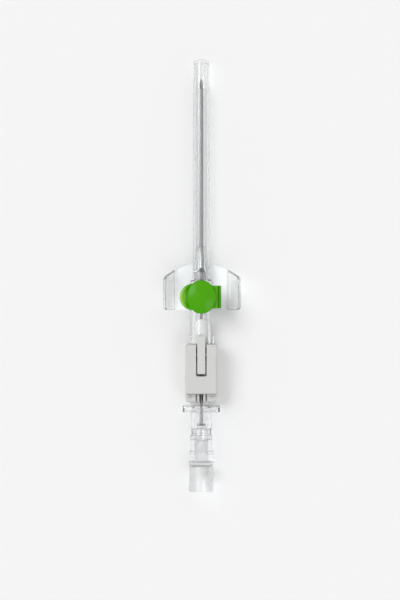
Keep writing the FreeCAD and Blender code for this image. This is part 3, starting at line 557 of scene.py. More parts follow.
def moulded(name, base, roughness, grain, depth, uneven=0.04):
    """A moulded plastic: its colour, a slightly uneven gloss and the mould's fine waviness.

    Grain and depth are the waviness in millimetres, and uneven is how far the roughness wanders.
    """
    material, tree, shader = new_material(name, base)
    spots = add(tree, "ShaderNodeTexCoord").outputs["Object"]
    waves = add(tree, "ShaderNodeTexNoise", {"Scale": 1 / (grain * MM), "Detail": 2.0}, {"Vector": spots})
    bump = add(
        tree, "ShaderNodeBump", {"Strength": 0.6, "Distance": depth * MM}, {"Height": waves.outputs["Fac"]}
    )
    tree.links.new(bump.outputs["Normal"], shader.inputs["Normal"])
    patches = add(tree, "ShaderNodeTexNoise", {"Scale": 1 / (PATCH * MM), "Detail": 3.0}, {"Vector": spots})
    gloss = add(
        tree, "ShaderNodeMapRange", {"To Min": roughness - uneven, "To Max": roughness + uneven},
        {"Value": patches.outputs["Fac"]},
    )
    tree.links.new(gloss.outputs["Result"], shader.inputs["Roughness"])
    return material


def painted_light_and_shade_across(material, stops):
    """Change a colour across the piece, at (place in mm, linear colour) stops from left to right.

    Painted light and shade: the stops paint the thin parts lighter, as light passing through them would look,
    and paint shade where they are darker.
    """
    tree = material.node_tree
    first, last = stops[0][0], stops[-1][0]
    spots = add(tree, "ShaderNodeTexCoord").outputs["Object"]
    across = add(tree, "ShaderNodeSeparateXYZ", links={"Vector": spots})
    share = add(
        tree, "ShaderNodeMapRange", {"From Min": first * MM, "From Max": last * MM},
        {"Value": across.outputs["X"]},
    )
    ramp = add(tree, "ShaderNodeValToRGB", links={"Fac": share.outputs["Result"]})
    band = ramp.color_ramp.elements
    band[0].color, band[1].color = stops[0][1], stops[-1][1]
    for place, tone in stops[1:-1]:
        band.new((place - first) / (last - first)).color = tone
    tree.links.new(ramp.outputs["Color"], tree.nodes[PRINCIPLED].inputs["Base Color"])


def clear(name, hex_code, roughness, index, grain, depth):
    """A clear moulded plastic that light passes through, also the lamps' own light."""
    material = moulded(name, linear(hex_code), roughness, grain, depth, uneven=0.005)
    tree = material.node_tree
    shader = tree.nodes[PRINCIPLED]
    shader.inputs["Transmission Weight"].default_value = 1.0
    shader.inputs["IOR"].default_value = index
    ray = add(tree, "ShaderNodeLightPath")
    passed = add(tree, "ShaderNodeBsdfTransparent", {"Color": linear("F4F5F6")})
    mix = add(tree, "ShaderNodeMixShader", links={
        0: ray.outputs["Is Shadow Ray"], 1: shader.outputs["BSDF"], 2: passed.outputs["BSDF"],
    })
    tree.links.new(mix.outputs["Shader"], tree.nodes["Material Output"].inputs["Surface"])
    return material


def steel(name, hex_code, roughness):
    """Stainless steel with fine lines that run lengthwise, as drawing and rolling leave them."""
    line_spacing, stretch, smoother, rougher = 0.05, 0.02, 0.06, 0.10
    material, tree, shader = new_material(name, linear(hex_code))
    shader.inputs["Metallic"].default_value = 1.0
    spots = add(tree, "ShaderNodeTexCoord").outputs["Object"]
    drawn = add(tree, "ShaderNodeMapping", {"Scale": (1.0, stretch, 1.0)}, {"Vector": spots})
    lines = add(
        tree, "ShaderNodeTexNoise", {"Scale": 1 / (line_spacing * MM), "Detail": 2.0},
        {"Vector": drawn.outputs["Vector"]},
    )
    gloss = add(
        tree, "ShaderNodeMapRange", {"To Min": roughness - smoother, "To Max": roughness + rougher},
        {"Value": lines.outputs["Fac"]},
    )
    tree.links.new(gloss.outputs["Result"], shader.inputs["Roughness"])
    return material


def make_materials(chosen):
    """All finishes, named for what they really are."""
    made = types.SimpleNamespace()
    green = tuple(chosen.green)
    # Polypropylene, moulded in a polished tool: glass clear with a faint grey cast and soft waviness
    made.cover = clear("Clear polypropylene, moulded", "F4F4F4", 0.10, 1.49, grain=6.0, depth=0.001)
    # Polycarbonate, moulded: clearer and brighter at its edges than polypropylene
    made.hub = clear("Clear polycarbonate, moulded", "FDFEFE", 0.07, 1.58, grain=6.0, depth=0.001)
    # The same, from a finely eroded tool: the wings' grip side scatters light
    made.wing = clear("Clear polycarbonate, fine matt", "FDFDFD", 0.18, 1.58, grain=0.25, depth=0.003)
    # Clear ABS, moulded: as bright as the hub, but it bends light less
    made.chamber = clear("Clear ABS, moulded", "FEFEFE", 0.07, 1.54, grain=6.0, depth=0.001)
    # The same from a tool with a dull, ribbed cavity: the plug looks frosted
    made.plug = clear("Clear ABS, ribbed moulding", "F9F9F9", 0.34, 1.54, grain=1.0, depth=0.001)
    # Fluoropolymer, extruded: milky and waxy
    made.catheter = clear("Fluoropolymer, extruded", "F8F9FA", 0.30, 1.35, grain=0.6, depth=0.001)
    # Acrylonitrile butadiene styrene, white, from a satin tool: an even, soft sheen
    made.guard = moulded("White ABS, satin moulding", chosen.guard, 0.42, grain=0.3, depth=0.006)
    # Acetal, white, moulded: a little smoother and waxier than the guard
    made.lever = moulded("White acetal, moulded", chosen.lever, 0.36, grain=0.3, depth=0.005)
    # Polyethylene coloured through: waxy, with soft highlights; painted lighter at the thin thumb tab and
    # strap, with a painted shade strip at the strap's bend
    made.cap = moulded("Green polyethylene, moulded", green, 0.20, grain=0.8, depth=0.004)
    # Painted light at the thumb tab and strap, and painted shade at the hinge bend, put into the base colour
    # across X
    painted_light_and_shade_across(made.cap, [
        (-6.1, linear("A6D562")), (-4.9, linear("84C23C")), (-4.1, green), (3.9, green),
        (4.1, linear("66AE26")), (4.5, linear("5FA91E")), (4.7, linear("429400")), (5.7, linear("429400")),
    ])
    made.ring = moulded("Green polyethylene, ring", green, 0.34, grain=0.8, depth=0.006)
    for waxy in (made.cap, made.ring):
        waxy.node_tree.nodes[PRINCIPLED].inputs["Specular IOR Level"].default_value = 0.14
    # Silicone: milky and soft looking
    made.silicone = moulded("Silicone, moulded", linear("E4E6E6"), 0.45, grain=0.6, depth=0.006)
    made.silicone.node_tree.nodes[PRINCIPLED].inputs["Transmission Weight"].default_value = 0.4
    # Set acrylic adhesive: a dark glossy bead
    made.adhesive = moulded("Acrylic adhesive, set", linear("6E6A64"), 0.2, grain=0.5, depth=0.01)
    # Sintered polyethylene beads about 0.2 mm across: a chalky, open surface
    made.filter = moulded("Polyethylene, sintered", linear("C8C8C6"), 0.8, grain=0.2, depth=0.05)
    # Stainless steel, drawn: grey, with lengthwise lines that blur what it mirrors
    made.needle = steel("Stainless steel, drawn tube", "8E8D8C", 0.42)
    # Stainless steel, rolled and pressed: brighter and smoother than the tube
    made.strip = steel("Stainless steel, rolled strip", "B4B6B9", 0.30)
    return made


# Pieces

def make_cover(size, finish):
    """Clear needle cover: a flared mouth, a long straight tube and a rounded, closed end."""
    low, high = box_mm("needle_cover")
    mouth, end = low.y, high.y
    flare_end = mouth + size.flare_length
    bore = size.tube_radius - size.wall
    mouth_bore = high.x - size.wall
    inner_end = end - size.end_wall
    inner_round = size.wall / 2
    profile = [(mouth, high.x), (flare_end, size.tube_radius)]
    profile += bend(end - size.end_round, size.tube_radius - size.end_round, size.end_round, 90, 0)
    profile += [(end, 0), (inner_end, 0)]
    profile += bend(inner_end - inner_round, bore - inner_round, inner_round, 0, 90)
    profile += [(flare_end, bore), (mouth + size.seat_length, mouth_bore), (mouth, mouth_bore)]
    form = eased(turned(profile), size.edge, wanted=lambda a, b: a.y < mouth + WELD)
    fitted(form, "cover_tube", "needle_cover", finish.cover)


def make_needle(size, finish):
    """Drawn steel tube, cut by the main bevel and by two lancet facets."""
    low, high = box_mm("needle")
    form = turned([
        (low.y, size.bore), (low.y, size.outer), (size.point, size.outer), (size.point, size.bore),
    ], steps=SMALL_STEPS)
    reach = size.outer * 2 + SPARE
    for slope, turn in ((size.bevel, 0.0), (size.lancet, size.lancet_turn), (size.lancet, -size.lancet_turn)):
        wedge = slab([
            (size.point, -size.outer),
            (size.point + SPARE, -size.outer),
            (size.point + SPARE, reach - size.outer),
            (size.point - reach / math.tan(slope), reach - size.outer),
        ], -reach, reach, ACROSS)
        bmesh.ops.rotate(wedge, verts=wedge.verts, cent=(0, 0, 0), matrix=Matrix.Rotation(turn, 3, "Y"))
        form = cut(form, wedge)
    fitted(form, "needle_tube", "needle", finish.needle)


def make_catheter(size, finish):
    """Extruded catheter tube with a drawn-down tip and a root widened over the ferrule."""
    low, high = box_mm("catheter_tube")
    root_end = low.y + ROOT_LENGTH
    front = root_end + ROOT_BLEND
    wall = CATHETER_RADIUS - size.catheter_bore
    form = turned([
        (low.y, high.x - wall),
        (low.y, high.x),
        (root_end, high.x),
        (front, CATHETER_RADIUS),
        (high.y - size.tip_taper, CATHETER_RADIUS),
        (high.y, size.catheter_bore + size.tip_wall),
        (high.y, size.catheter_bore),
        (front, size.catheter_bore),
        (root_end, high.x - wall),
    ], steps=SMALL_STEPS)
    fitted(form, "catheter", "catheter_tube", finish.catheter)


def make_hub(size, finish):
    """Clear hub: luer tube with lugs, port body and stem, nose, and the saddle that carries the wings."""
    # The bore's inner steps, which the source sets from the sleeve and the ferrule
    luer_depth, valve_rear, valve_front = 7.6, 9.2, 17.4
    valve_radius, flow_radius, ferrule_radius, ferrule_lip = 2.0, 1.5, 1.4, 1.2
    low, high = box_mm("catheter_hub")
    ring_low, ring_high = box_mm("cap_ring")
    tube_low, tube_high = box_mm("catheter_tube")
    port = (0, (ring_low.y + ring_high.y) / 2, 0)
    shell = eased(turned([
        (0, 0),
        (0, size.tube_radius),
        (size.body_rear, size.tube_radius),
        (size.body_rear + size.body_bevel, size.body_radius),
        (size.body_front - size.body_bevel, size.body_radius),
        (size.body_front, size.body_radius - size.body_bevel),
        (size.body_front, size.seat_radius),
        (size.cone_start, size.seat_radius),
        (high.y, size.nose_radius),
        (high.y, 0),
    ]), size.edge, wanted=lambda a, b: near(a.y, b.y))
    setback = size.edge / 4
    lugs = rod(size.lug_reach, setback, size.lug_length)
    for side in (-1, 1):
        bmesh.ops.bisect_plane(
            lugs, geom=lugs.verts[:] + lugs.edges[:] + lugs.faces[:], clear_outer=True,
            plane_co=(0, 0, size.lug_half_width * side), plane_no=(0, 0, side),
        )
        bmesh.ops.holes_fill(lugs, edges=lugs.edges)
    bmesh.ops.recalc_face_normals(lugs, faces=lugs.faces)
    eased(lugs, size.edge)
    stem = rod(STEM_RADIUS, 0, high.z, UP, port)
    eased(stem, size.edge * 2, wanted=lambda a, b: a.z > high.z - WELD)
    edge = high.x
    saddle = eased(slab([
        (-edge, size.shelf_rear),
        (edge, size.shelf_rear),
        (edge, size.shelf_front),
        (size.seat_radius, size.shelf_middle_front),
        (-size.seat_radius, size.shelf_middle_front),
        (-edge, size.shelf_front),
    ], low.z, low.z + size.shelf_thick), size.edge)
    path = turned([
        (-SPARE, 0),
        (-SPARE, luer(0)),
        (0, luer(0)),
        (luer_depth, luer(luer_depth)),
        (valve_rear, luer(luer_depth)),
        (valve_rear, valve_radius),
        (valve_front, valve_radius),
        (valve_front, flow_radius),
        (tube_low.y - ferrule_lip, flow_radius),
        (tube_low.y - ferrule_lip, ferrule_radius),
        (tube_low.y, tube_high.x),
        (tube_low.y + ROOT_LENGTH, tube_high.x),
        (tube_low.y + ROOT_LENGTH + ROOT_BLEND, CATHETER_RADIUS),
        (high.y + SPARE, CATHETER_RADIUS),
        (high.y + SPARE, 0),
    ])
    seats = []
    for joint in ("left_wing_fold", "right_wing_fold"):
        place = hinge_mm(joint)
        seats.append(rod(BEAD_RADIUS + RUNNING_GAP, 0, high.y, ALONG, (place.x, 0, place.z), SMALL_STEPS))
    well = rod(size.port_bore, 0, high.z + SPARE, UP, port)
    form = cut(joined(shell, lugs, stem, saddle), *seats, path, well)
    fitted(form, "hub_moulding", "catheter_hub", finish.hub)


def make_wings(size, finish):
    """Both wings, made flat from the root outwards and then folded up about it."""
    for side, node, joint in ((-1, "wing_left", "left_wing_fold"), (1, "wing_right", "right_wing_fold")):
        low, high = box_mm(node)
        hinge = hinge_mm(joint)
        fold = -JOINTS[joint]["range_deg"][0]
        rear, front = low.y, high.y
        tip = size.span * side
        half = size.web / 2
        inner = size.web_width * side
        lean = (front - size.tip_front) / size.span * size.web_width
        bead = eased(rod(BEAD_RADIUS, rear, front, steps=SMALL_STEPS), size.edge / 2)
        web = slab(
            [(0, rear), (tip, rear), (tip, size.tip_front), (0, front)], -half, half,
            corner=size.corner, corners=(1, 2),
        )
        pad = slab(
            [(inner, rear), (tip, rear), (tip, size.tip_front), (inner, front - lean)],
            -half, size.pad - half, corner=size.corner, corners=(1, 2),
        )
        ribs = []
        for index in range(size.rib_count):
            start = (size.rib_first + index * size.rib_spacing) * side
            end = start + size.rib_width * side
            ribs.append(eased(block(
                min(start, end), max(start, end), rear + size.rib_end, size.tip_front - size.rib_end,
                -half - size.rib_height, 0, corner=size.rib_width / 3,
            ), size.rib_height / 2, wanted=lambda a, b: a.z < -half and b.z < -half))
        form = joined(eased(web, size.edge), eased(pad, size.edge * 1.5), bead, *ribs)
        turn = Matrix.Rotation(math.radians(-side * fold), 3, "Y")
        bmesh.ops.rotate(form, verts=form.verts, cent=(0, 0, 0), matrix=turn)
        bmesh.ops.translate(form, verts=form.verts, vec=(hinge.x, 0, hinge.z))
        fitted(form, node + "_moulding", node, finish.wing)


def make_ring(size, finish):
    """Green ring on the port's stem, with the strap that rises to the cap's hinge."""
    low, high = box_mm("cap_ring")
    port = (0, (low.y + high.y) / 2, 0)
    top = low.z + size.ring_thick
    ring = rod(size.ring_radius, low.z, top, UP, port)
    strap = slab([
        (0, low.z), (high.x, low.z), (high.x, high.z), (high.x - size.strap_thick, high.z),
        (high.x - size.strap_thick, top), (0, top),
    ], port[1] - STRAP_HALF, port[1] + STRAP_HALF, ALONG)
    hole = rod(STEM_RADIUS, low.z - SPARE, top + SPARE, UP, port)
    form = cut(joined(eased(ring, size.edge), eased(strap, size.edge)), hole)
    fitted(form, "strap_ring", "cap_ring", finish.ring)


def make_cap(size, finish):
    """Green flip cap: domed oval button, lipped thumb tab, strap with its bend, and the plug."""
    low, high = box_mm("port_cap")
    hinge = hinge_mm("cap_hinge")
    port = (0, (low.y + high.y) / 2, 0)
    bottom = low.z + size.plug_depth
    top = bottom + size.lid_thick
    wide = size.disc_half_width
    dome_radius = (wide ** 2 + size.disc_dome ** 2) / (2 * size.disc_dome)
    slope = math.degrees(math.asin(wide / dome_radius))
    dome = bend(high.z - dome_radius, 0, dome_radius, slope, 0, DOME_STEPS)
    button = turned([(bottom, 0), (bottom, wide)] + dome, UP)
    button = eased(button, size.rim_round, wanted=lambda a, b: near(a.z, b.z))
    bmesh.ops.scale(button, vec=(1, size.disc_half_length / wide, 1), verts=button.verts)
    bmesh.ops.translate(button, verts=button.verts, vec=port)
    lip = size.tab_radius - size.tab_lip_width
    tab = eased(turned([
        (bottom, 0),
        (bottom, size.tab_radius),
        (top + size.tab_lip, size.tab_radius),
        (top + size.tab_lip, lip),
        (top, lip - size.tab_lip),
        (top, 0),
    ], UP, (low.x + size.tab_radius, port[1], 0)), size.edge)
    rear, front = port[1] - STRAP_HALF, port[1] + STRAP_HALF
    strap_top = top - RUNNING_GAP
    strap = eased(slab([
        (0, bottom), (hinge.x, bottom), (hinge.x, bottom + size.bend_gap),
        (hinge.x - size.bead - size.edge, bottom + size.bend_gap), (hinge.x - size.bead * 2, strap_top),
        (0, strap_top),
    ], rear, front, ALONG), size.edge / 2)
    bead = eased(rod(size.bead, rear, front, ALONG, (hinge.x, 0, hinge.z), SMALL_STEPS), size.edge)
    plug = eased(turned([
        (low.z, 0), (low.z, size.plug_tip), (bottom - size.plug_land, size.plug_radius),
        (bottom + size.edge, size.plug_radius), (bottom + size.edge, 0),
    ], UP, port), size.edge, wanted=lambda a, b: a.z < low.z + WELD and b.z < low.z + WELD)
    fitted(joined(button, tab, strap, bead, plug), "flip_cap", "port_cap", finish.cap)


def make_guard_base(size, finish):
    """White tray of the guard, with the male luer nose and the marked block at its rear."""
    # The needle's way: a bore with a guide at both ends
    nose_bore, nose_land, guide = 1.1, 1.0, 0.53
    low, high = box_mm("guard_base")
    shell_low, shell_high = box_mm("guard_housing")
    half, rear, floor = high.x, low.y, low.z
    front, split = shell_high.y, shell_low.z
    block_front = shell_low.y
    inner_rear = block_front + size.wall
    wide = half - size.wall
    tray = block(-half, half, rear, front, floor, split, corner=size.corner)
    heel = block(-half, half, rear, block_front, floor, high.z, corner=size.corner, corners=(0, 1))
    nose_root = luer(0) - RUNNING_GAP
    nose = turned([
        (front - size.wall / 2, 0), (front - size.wall / 2, nose_root), (0, nose_root),
        (high.y, luer(high.y) - RUNNING_GAP), (high.y, 0),
    ])
    inside = block(-wide, wide, inner_rear, front - size.wall, floor + size.wall, split + SPARE)
    way = turned(stepped(
        rear - SPARE, (guide, inner_rear), (nose_bore, high.y - nose_land), (guide, high.y + SPARE),
    ), steps=SMALL_STEPS)
    top = high.z + SPARE
    cuts = [block(-size.trough, size.trough, rear - SPARE, block_front + SPARE, 0, top)]
    for middle in (-size.rail_place, size.rail_place):
        cuts.append(block(
            middle - size.rail_half, middle + size.rail_half, rear - SPARE, block_front + SPARE,
            high.z - size.rail_depth, top,
        ))
    along = (rear + block_front) / 2 + size.mark_ahead
    mark = high.z - size.mark_depth
    cuts.append(rod(size.hole_radius, mark, top, UP, (-size.mark_place, along, 0), SMALL_STEPS))
    cuts.append(block(
        size.mark_place - size.slit_half, size.mark_place + size.slit_half,
        along - size.slit_width / 2, along + size.slit_width / 2, mark, top,
    ))
    form = joined(eased(tray, size.edge), eased(heel, size.edge), eased(nose, size.fine_edge * 2))
    fitted(cut(form, inside, way, *cuts), "guard_tray", "guard_base", finish.guard)


def make_guard_housing(size, finish):
    """White cover of the guard, with the lever's slot, the pivot ears and the lower front band."""
    # The ears hang from the roof beside the slot, which is cut a little deeper than the roof
    ear_gap, ear_thick, ear_half, ear_bottom, slot_past = 0.1, 0.7, 0.8, 2.1, 0.2
    low, high = box_mm("guard_housing")
    pivot = hinge_mm("latch_rock")
    half, rear, front = high.x, low.y, high.y
    split, top = low.z, high.z
    wide = half - size.wall
    roof = top - size.wall
    cover = block(-half, half, rear, front, split, top, corner=size.corner, corners=(2, 3))
    eased(cover, size.edge, wanted=lambda a, b: a.z < split + WELD and b.z < split + WELD)
    eased(cover, size.top_edge, wanted=lambda a, b: a.z > top - WELD and b.z > top - WELD)
    inside = block(-wide, wide, rear + size.wall, front - size.wall, split - SPARE, roof)
    slot = block(
        -size.slot_half, size.slot_half, front - size.slot_length, front + SPARE,
        roof - slot_past, top + SPARE, corner=size.fine_edge * 5, corners=(0, 1),
    )
    band_rear, band_top = front - size.band, top - size.band_step
    band = slab([
        (band_rear, band_top), (front + SPARE, band_top), (front + SPARE, top + SPARE),
        (band_rear - size.band_slope, top + SPARE), (band_rear - size.band_slope, top),
    ], -half - SPARE, half + SPARE, ACROSS)
    nose_way = rod(luer(0), front - size.wall - SPARE, front + SPARE)
    ear_in = size.slot_half + ear_gap
    ear_out = ear_in + ear_thick
    ears = []
    for left, right in ((-ear_out, -ear_in), (ear_in, ear_out)):
        ears.append(block(
            left, right, pivot.y - ear_half, pivot.y + ear_half, ear_bottom, top - size.wall / 2,
        ))
    reach = ear_out + ear_gap
    holes = rod(size.pivot_radius + RUNNING_GAP, -reach, reach, ACROSS, (0, pivot.y, pivot.z), SMALL_STEPS)
    form = cut(joined(cut(cover, inside, slot, band, nose_way), *ears), holes)
    fitted(form, "guard_shell", "guard_housing", finish.guard)


def make_latch_lever(size, finish):
    """White lever on its pin, with the nib over the hub's luer tube."""
    nib_bottom, stalk_half = 3.25, 0.65
    low, high = box_mm("latch_lever")
    pivot = hinge_mm("latch_rock")
    half, corner = size.lever_half, size.lever_half / 4
    bottom = high.z - size.lever_thick
    tongue = eased(block(-half, half, low.y, high.y, bottom, high.z, corner=corner), size.edge / 2)
    nib = block(
        -half, half, high.y - size.lever_nib, high.y - WELD, nib_bottom, bottom + size.edge, corner=corner,
        corners=(2, 3),
    )
    stalk = block(-half, half, pivot.y - stalk_half, pivot.y + stalk_half, pivot.z, bottom + size.edge)
    pin = rod(size.pivot_radius, low.x, high.x, ACROSS, (0, pivot.y, pivot.z), SMALL_STEPS)
    form = joined(tongue, nib, stalk, eased(pin, size.fine_edge))
    fitted(form, "rocking_lever", "latch_lever", finish.lever)


def make_needle_hub(size, finish):
    """Clear finger plate with its rim, the chamber tube and the pipe that holds the needle."""
    # The spigot is a press fit in the chamber's socket, and the adhesive sits behind the needle's seat
    spigot_radius = SOCKET_RADIUS + PRESS_FIT
    pipe_base, needle_radius, bond_radius, bond_front = 19.6, 0.46, 0.9, 22.9
    low, high = box_mm("needle_hub")
    front = high.y
    rear = front - size.plate_depth
    skin = front - size.skin
    rim = size.rim
    spigot_end = low.y
    tube_end = low.y + size.spigot_length
    plate = eased(block(low.x, high.x, low.z, high.z, rear, front, ALONG, corner=size.corner), size.edge * 2)
    dish = block(
        low.x + rim, high.x - rim, low.z + rim, high.z - rim, rear - SPARE, skin, ALONG,
        corner=size.corner - rim / 2,
    )
    tube = eased(turned(stepped(
        skin + size.edge, (size.tube_radius, tube_end), (spigot_radius, spigot_end),
    )), size.edge)
    chamber = turned([
        (-pipe_base, size.pipe_radius), (-pipe_base, size.tube_bore), (spigot_end - SPARE, size.tube_bore),
        (spigot_end - SPARE, 0), (tube_end, 0), (tube_end, size.pipe_radius),
    ])
    seat = turned(stepped(
        front + SPARE, (needle_radius, -bond_front), (bond_radius, tube_end - SPARE),
    ), steps=SMALL_STEPS)
    form = cut(joined(cut(plate, dish), tube), chamber, seat)
    fitted(form, "finger_plate", "needle_hub", finish.chamber)


def make_flash_chamber(size, finish):
    """Clear flash chamber with its collar and luer flange."""
    low, high = box_mm("flash_chamber")
    front, end = high.y, low.y
    collar_end = front - size.collar_length
    socket_end = front - size.spigot_length - SEAT_GAP
    form = eased(turned([
        (front, SOCKET_RADIUS), (front, size.collar_radius), (collar_end, size.collar_radius),
        (collar_end, size.chamber_radius), (end + size.flange_length, size.chamber_radius),
        (end + size.flange_length, high.x), (end, high.x), (end, luer(0)),
        (socket_end, luer(socket_end - end)), (socket_end, SOCKET_RADIUS),
    ]), size.edge)
    fitted(form, "flash_tube", "flash_chamber", finish.chamber)


def make_vent_plug(size, finish):
    """Clear vent plug: luer nose, rim with a groove behind it, and a body ribbed for the fingers."""
    plug_bore, filter_radius, web = 1.1, 2.2, 1.5
    low, high = box_mm("vent_plug")
    mouth = box_mm("flash_chamber")[0].y
    nose, rear, rim_radius = high.y, low.y, high.z
    front = -size.plug_front
    rim_end = front - size.plug_rim
    groove = size.plug_body - size.plug_groove
    body = eased(turned([
        (nose, 0), (nose, luer(nose - mouth) - RUNNING_GAP), (front, luer(front - mouth) - RUNNING_GAP),
        (front, rim_radius), (rim_end, rim_radius), (rim_end, groove), (rim_end - size.plug_groove, groove),
        (rim_end - size.plug_groove, size.plug_body), (rear, size.plug_body), (rear, 0),
    ]), size.edge)
    ribs = bmesh.new()
    for index in range(size.plug_ribs):
        rib = eased(block(
            -size.plug_rib_half, size.plug_rib_half, groove, rim_radius, rear + size.edge,
            rear + size.plug_rib_length, ALONG,
        ), size.edge, wanted=lambda a, b: a.z > groove)
        turn = Matrix.Rotation(math.tau * index / size.plug_ribs, 3, "Y")
        bmesh.ops.rotate(rib, verts=rib.verts, cent=(0, 0, 0), matrix=turn)
        mesh = bpy.data.meshes.new("working")
        rib.to_mesh(mesh)
        rib.free()
        ribs.from_mesh(mesh)
        bpy.data.meshes.remove(mesh)
    pocket_front = front - web
    pocket_rear = rear + size.mouth_depth
    way = turned(stepped(
        nose + SPARE, (plug_bore, pocket_front), (filter_radius, pocket_rear),
        (size.mouth_radius, rear - SPARE),
    ))
    fitted(cut(joined(body, ribs), way), "ribbed_plug", "vent_plug", finish.plug)


def make_inner_pieces(finish):
    """Materials of the small inner pieces, whose CAD shapes stay as they are."""
    dressed("hub_ferrule", finish.strip)
    dressed("tip_clip", finish.strip)
    dressed("valve_sleeve", finish.silicone)
    dressed("needle_bond", finish.adhesive)
    dressed("vent_filter", finish.filter)


# Stage

# Where the lamps stand, of which only the direction counts, and half the floor's side, in metres
KEY_PLACE = Vector((-0.28, 0.16, 0.42))
FILL_PLACE = Vector((0.24, -0.18, 0.44))
FLOOR_HALF = 6.0


def make_floor(size):
    """Pale matt floor just under the object."""
    form = bmesh.new()
    under = Matrix.Translation((0, 0, CAD_BOUNDS[0][2] - size.floor_gap))
    bmesh.ops.create_grid(form, x_segments=1, y_segments=1, size=FLOOR_HALF, matrix=under)
    # Matt painted board: even and pale, with no gloss
    board, tree, paint = new_material("Painted board, matt", size.floor_colour)
    paint.inputs["Roughness"].default_value = 0.9
    paint.inputs["Specular IOR Level"].default_value = 0.1
    floor = placed("floor", form)
    floor.data.materials.append(board)


def make_room(size):
    """Even light from all sides, in which only clear plastic and metal see the room's walls."""
    world = bpy.data.worlds.new("Even studio light")
    world.use_nodes = True
    tree = world.node_tree
    tree.nodes.clear()
    light = add(tree, "ShaderNodeBackground", {"Color": (1, 1, 1, 1), "Strength": size.sky})
    seen = add(tree, "ShaderNodeBackground", {"Color": size.background, "Strength": 1.0})
    ray = add(tree, "ShaderNodeLightPath")
    bent = add(tree, "ShaderNodeMath", operation="MAXIMUM", links={
        0: ray.outputs["Is Glossy Ray"], 1: ray.outputs["Is Transmission Ray"],
    })
    # The room's walls are darker than its ceiling, which draws the edges of clear plastic
    way = add(tree, "ShaderNodeTexCoord")
    height = add(tree, "ShaderNodeSeparateXYZ", links={"Vector": way.outputs["Generated"]})
    ceiling = add(
        tree, "ShaderNodeMapRange", {"From Min": size.wall_low, "From Max": size.wall_high},
        {"Value": height.outputs["Z"]}, interpolation_type="SMOOTHSTEP",
    )
    walls = add(tree, "ShaderNodeBackground", {"Color": size.walls, "Strength": 1.0})
    room = add(tree, "ShaderNodeMixShader", links={
        0: ceiling.outputs["Result"], 1: walls.outputs["Background"], 2: seen.outputs["Background"],
    })
    mirrored = add(tree, "ShaderNodeMixShader", links={
        0: bent.outputs["Value"], 1: light.outputs["Background"], 2: room.outputs["Shader"],
    })
    whole = add(tree, "ShaderNodeMixShader", links={
        0: ray.outputs["Is Camera Ray"], 1: mirrored.outputs["Shader"], 2: seen.outputs["Background"],
    })
    add(tree, "ShaderNodeOutputWorld", links={"Surface": whole.outputs["Shader"]})
    bpy.context.scene.world = world


def make_lamps(size):
    """Wide, soft key light and fill light."""
    for name, strength, width, place in (
        ("key", size.key, size.key_width, KEY_PLACE), ("fill", size.fill, size.fill_width, FILL_PLACE),
    ):
        lamp = bpy.data.lights.new(name, "SUN")
        lamp.energy = strength
        lamp.angle = width
        item = shown(name, lamp)
        item.location = place
        item.rotation_euler = (-place).to_track_quat("-Z", "Y").to_euler()


def make_camera(size):
    """Camera that looks straight down on the object, as in the photograph."""
    view = bpy.data.cameras.new("camera")
    view.lens = size.lens
    distance = size.seen_height * size.lens / view.sensor_width
    view.clip_start = distance / 10
    view.clip_end = distance * 100
    camera = shown("camera", view)
    camera.location = (-size.centre_left, size.centre_along, distance)
    bpy.context.scene.camera = camera
    bpy.context.scene.view_settings.view_transform = "Standard"


# Operators and panel

FINISHES = {}


def finishes(context):
    """The materials for the chosen colours, made once."""
    chosen = context.scene.cannula.finish
    key = (*chosen.green, *chosen.guard, *chosen.lever)
    if key not in FINISHES:
        FINISHES[key] = make_materials(chosen)
    return FINISHES[key]


def run(context, group_name, *makers):
    """Run the functions that make an operator's pieces."""
    size = sizes(getattr(context.scene.cannula, group_name))
    for maker in makers:
        maker(size, finishes(context))
    return {"FINISHED"}


class CANNULA_OT_cover(bpy.types.Operator):
    """Make the clear needle cover"""
    bl_idname = "cannula.cover"
    bl_label = "Needle cover"

    def execute(self, context):
        return run(context, "cover", make_cover)


class CANNULA_OT_needle(bpy.types.Operator):
    """Make the needle and the catheter tube round it"""
    bl_idname = "cannula.needle"
    bl_label = "Needle and catheter"

    def execute(self, context):
        return run(context, "needle", make_needle, make_catheter)


class CANNULA_OT_hub(bpy.types.Operator):
    """Make the clear catheter hub"""
    bl_idname = "cannula.hub"
    bl_label = "Catheter hub"

    def execute(self, context):
        return run(context, "hub", make_hub)


class CANNULA_OT_wings(bpy.types.Operator):
    """Make both wings"""
    bl_idname = "cannula.wings"
    bl_label = "Wings"

    def execute(self, context):
        return run(context, "wing", make_wings)


class CANNULA_OT_cap(bpy.types.Operator):
    """Make the green ring and the flip cap"""
    bl_idname = "cannula.cap"
    bl_label = "Ring and cap"

    def execute(self, context):
        return run(context, "cap", make_ring, make_cap)


class CANNULA_OT_guard(bpy.types.Operator):
    """Make the white needle guard and its latch lever"""
    bl_idname = "cannula.guard"
    bl_label = "Needle guard"

    def execute(self, context):
        return run(context, "guard", make_guard_base, make_guard_housing, make_latch_lever)


class CANNULA_OT_chamber(bpy.types.Operator):
    """Make the finger plate, the flash chamber and the vent plug"""
    bl_idname = "cannula.chamber"
    bl_label = "Hub, chamber and plug"

    def execute(self, context):
        return run(context, "chamber", make_needle_hub, make_flash_chamber, make_vent_plug)


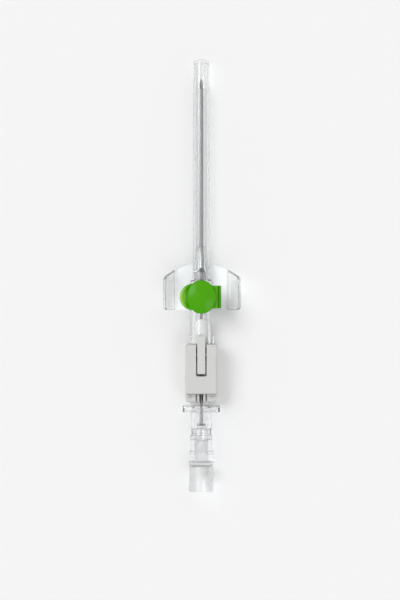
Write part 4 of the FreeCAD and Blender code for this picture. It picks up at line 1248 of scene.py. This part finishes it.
class CANNULA_OT_inner(bpy.types.Operator):
    """Give the small inner pieces their finishes"""
    bl_idname = "cannula.inner"
    bl_label = "Inner pieces"

    def execute(self, context):
        make_inner_pieces(finishes(context))
        return {"FINISHED"}


class CANNULA_OT_stage(bpy.types.Operator):
    """Make the floor, the lights and the camera"""
    bl_idname = "cannula.stage"
    bl_label = "Stage"

    def execute(self, context):
        for maker in (make_floor, make_room, make_lamps, make_camera):
            maker(context.scene.cannula.stage)
        return {"FINISHED"}


OPERATORS = (
    CANNULA_OT_stage, CANNULA_OT_cover, CANNULA_OT_needle, CANNULA_OT_hub, CANNULA_OT_wings, CANNULA_OT_cap,
    CANNULA_OT_guard, CANNULA_OT_chamber, CANNULA_OT_inner,
)


class CANNULA_PT_panel(bpy.types.Panel):
    """Pieces and sizes of the cannula"""
    bl_idname = "CANNULA_PT_panel"
    bl_label = "Cannula"
    bl_space_type = "VIEW_3D"
    bl_region_type = "UI"
    bl_category = "Cannula"

    def draw(self, context):
        for operator in OPERATORS:
            self.layout.operator(operator.bl_idname)
        settings = context.scene.cannula
        for item in own_settings(settings):
            box = self.layout.box()
            box.label(text=item.name)
            part = getattr(settings, item.identifier)
            for row in own_settings(part):
                box.prop(part, row.identifier)


CLASSES = (
    NeedleSettings, HubSettings, WingSettings, CapSettings, CoverSettings, GuardSettings, ChamberSettings,
    FinishSettings, StageSettings, CannulaSettings, *OPERATORS, CANNULA_PT_panel,
)


def register():
    """Register the settings, the operators and the panel."""
    for item in CLASSES:
        bpy.utils.register_class(item)
    bpy.types.Scene.cannula = group(CannulaSettings)


def unregister():
    """Take them out again."""
    del bpy.types.Scene.cannula
    for item in reversed(CLASSES):
        bpy.utils.unregister_class(item)


def main():
    """Make every piece in order."""
    register()
    bpy.ops.cannula.stage()
    bpy.ops.cannula.cover()
    bpy.ops.cannula.needle()
    bpy.ops.cannula.hub()
    bpy.ops.cannula.wings()
    bpy.ops.cannula.cap()
    bpy.ops.cannula.guard()
    bpy.ops.cannula.chamber()
    bpy.ops.cannula.inner()


if __name__ == "__main__":
    main()
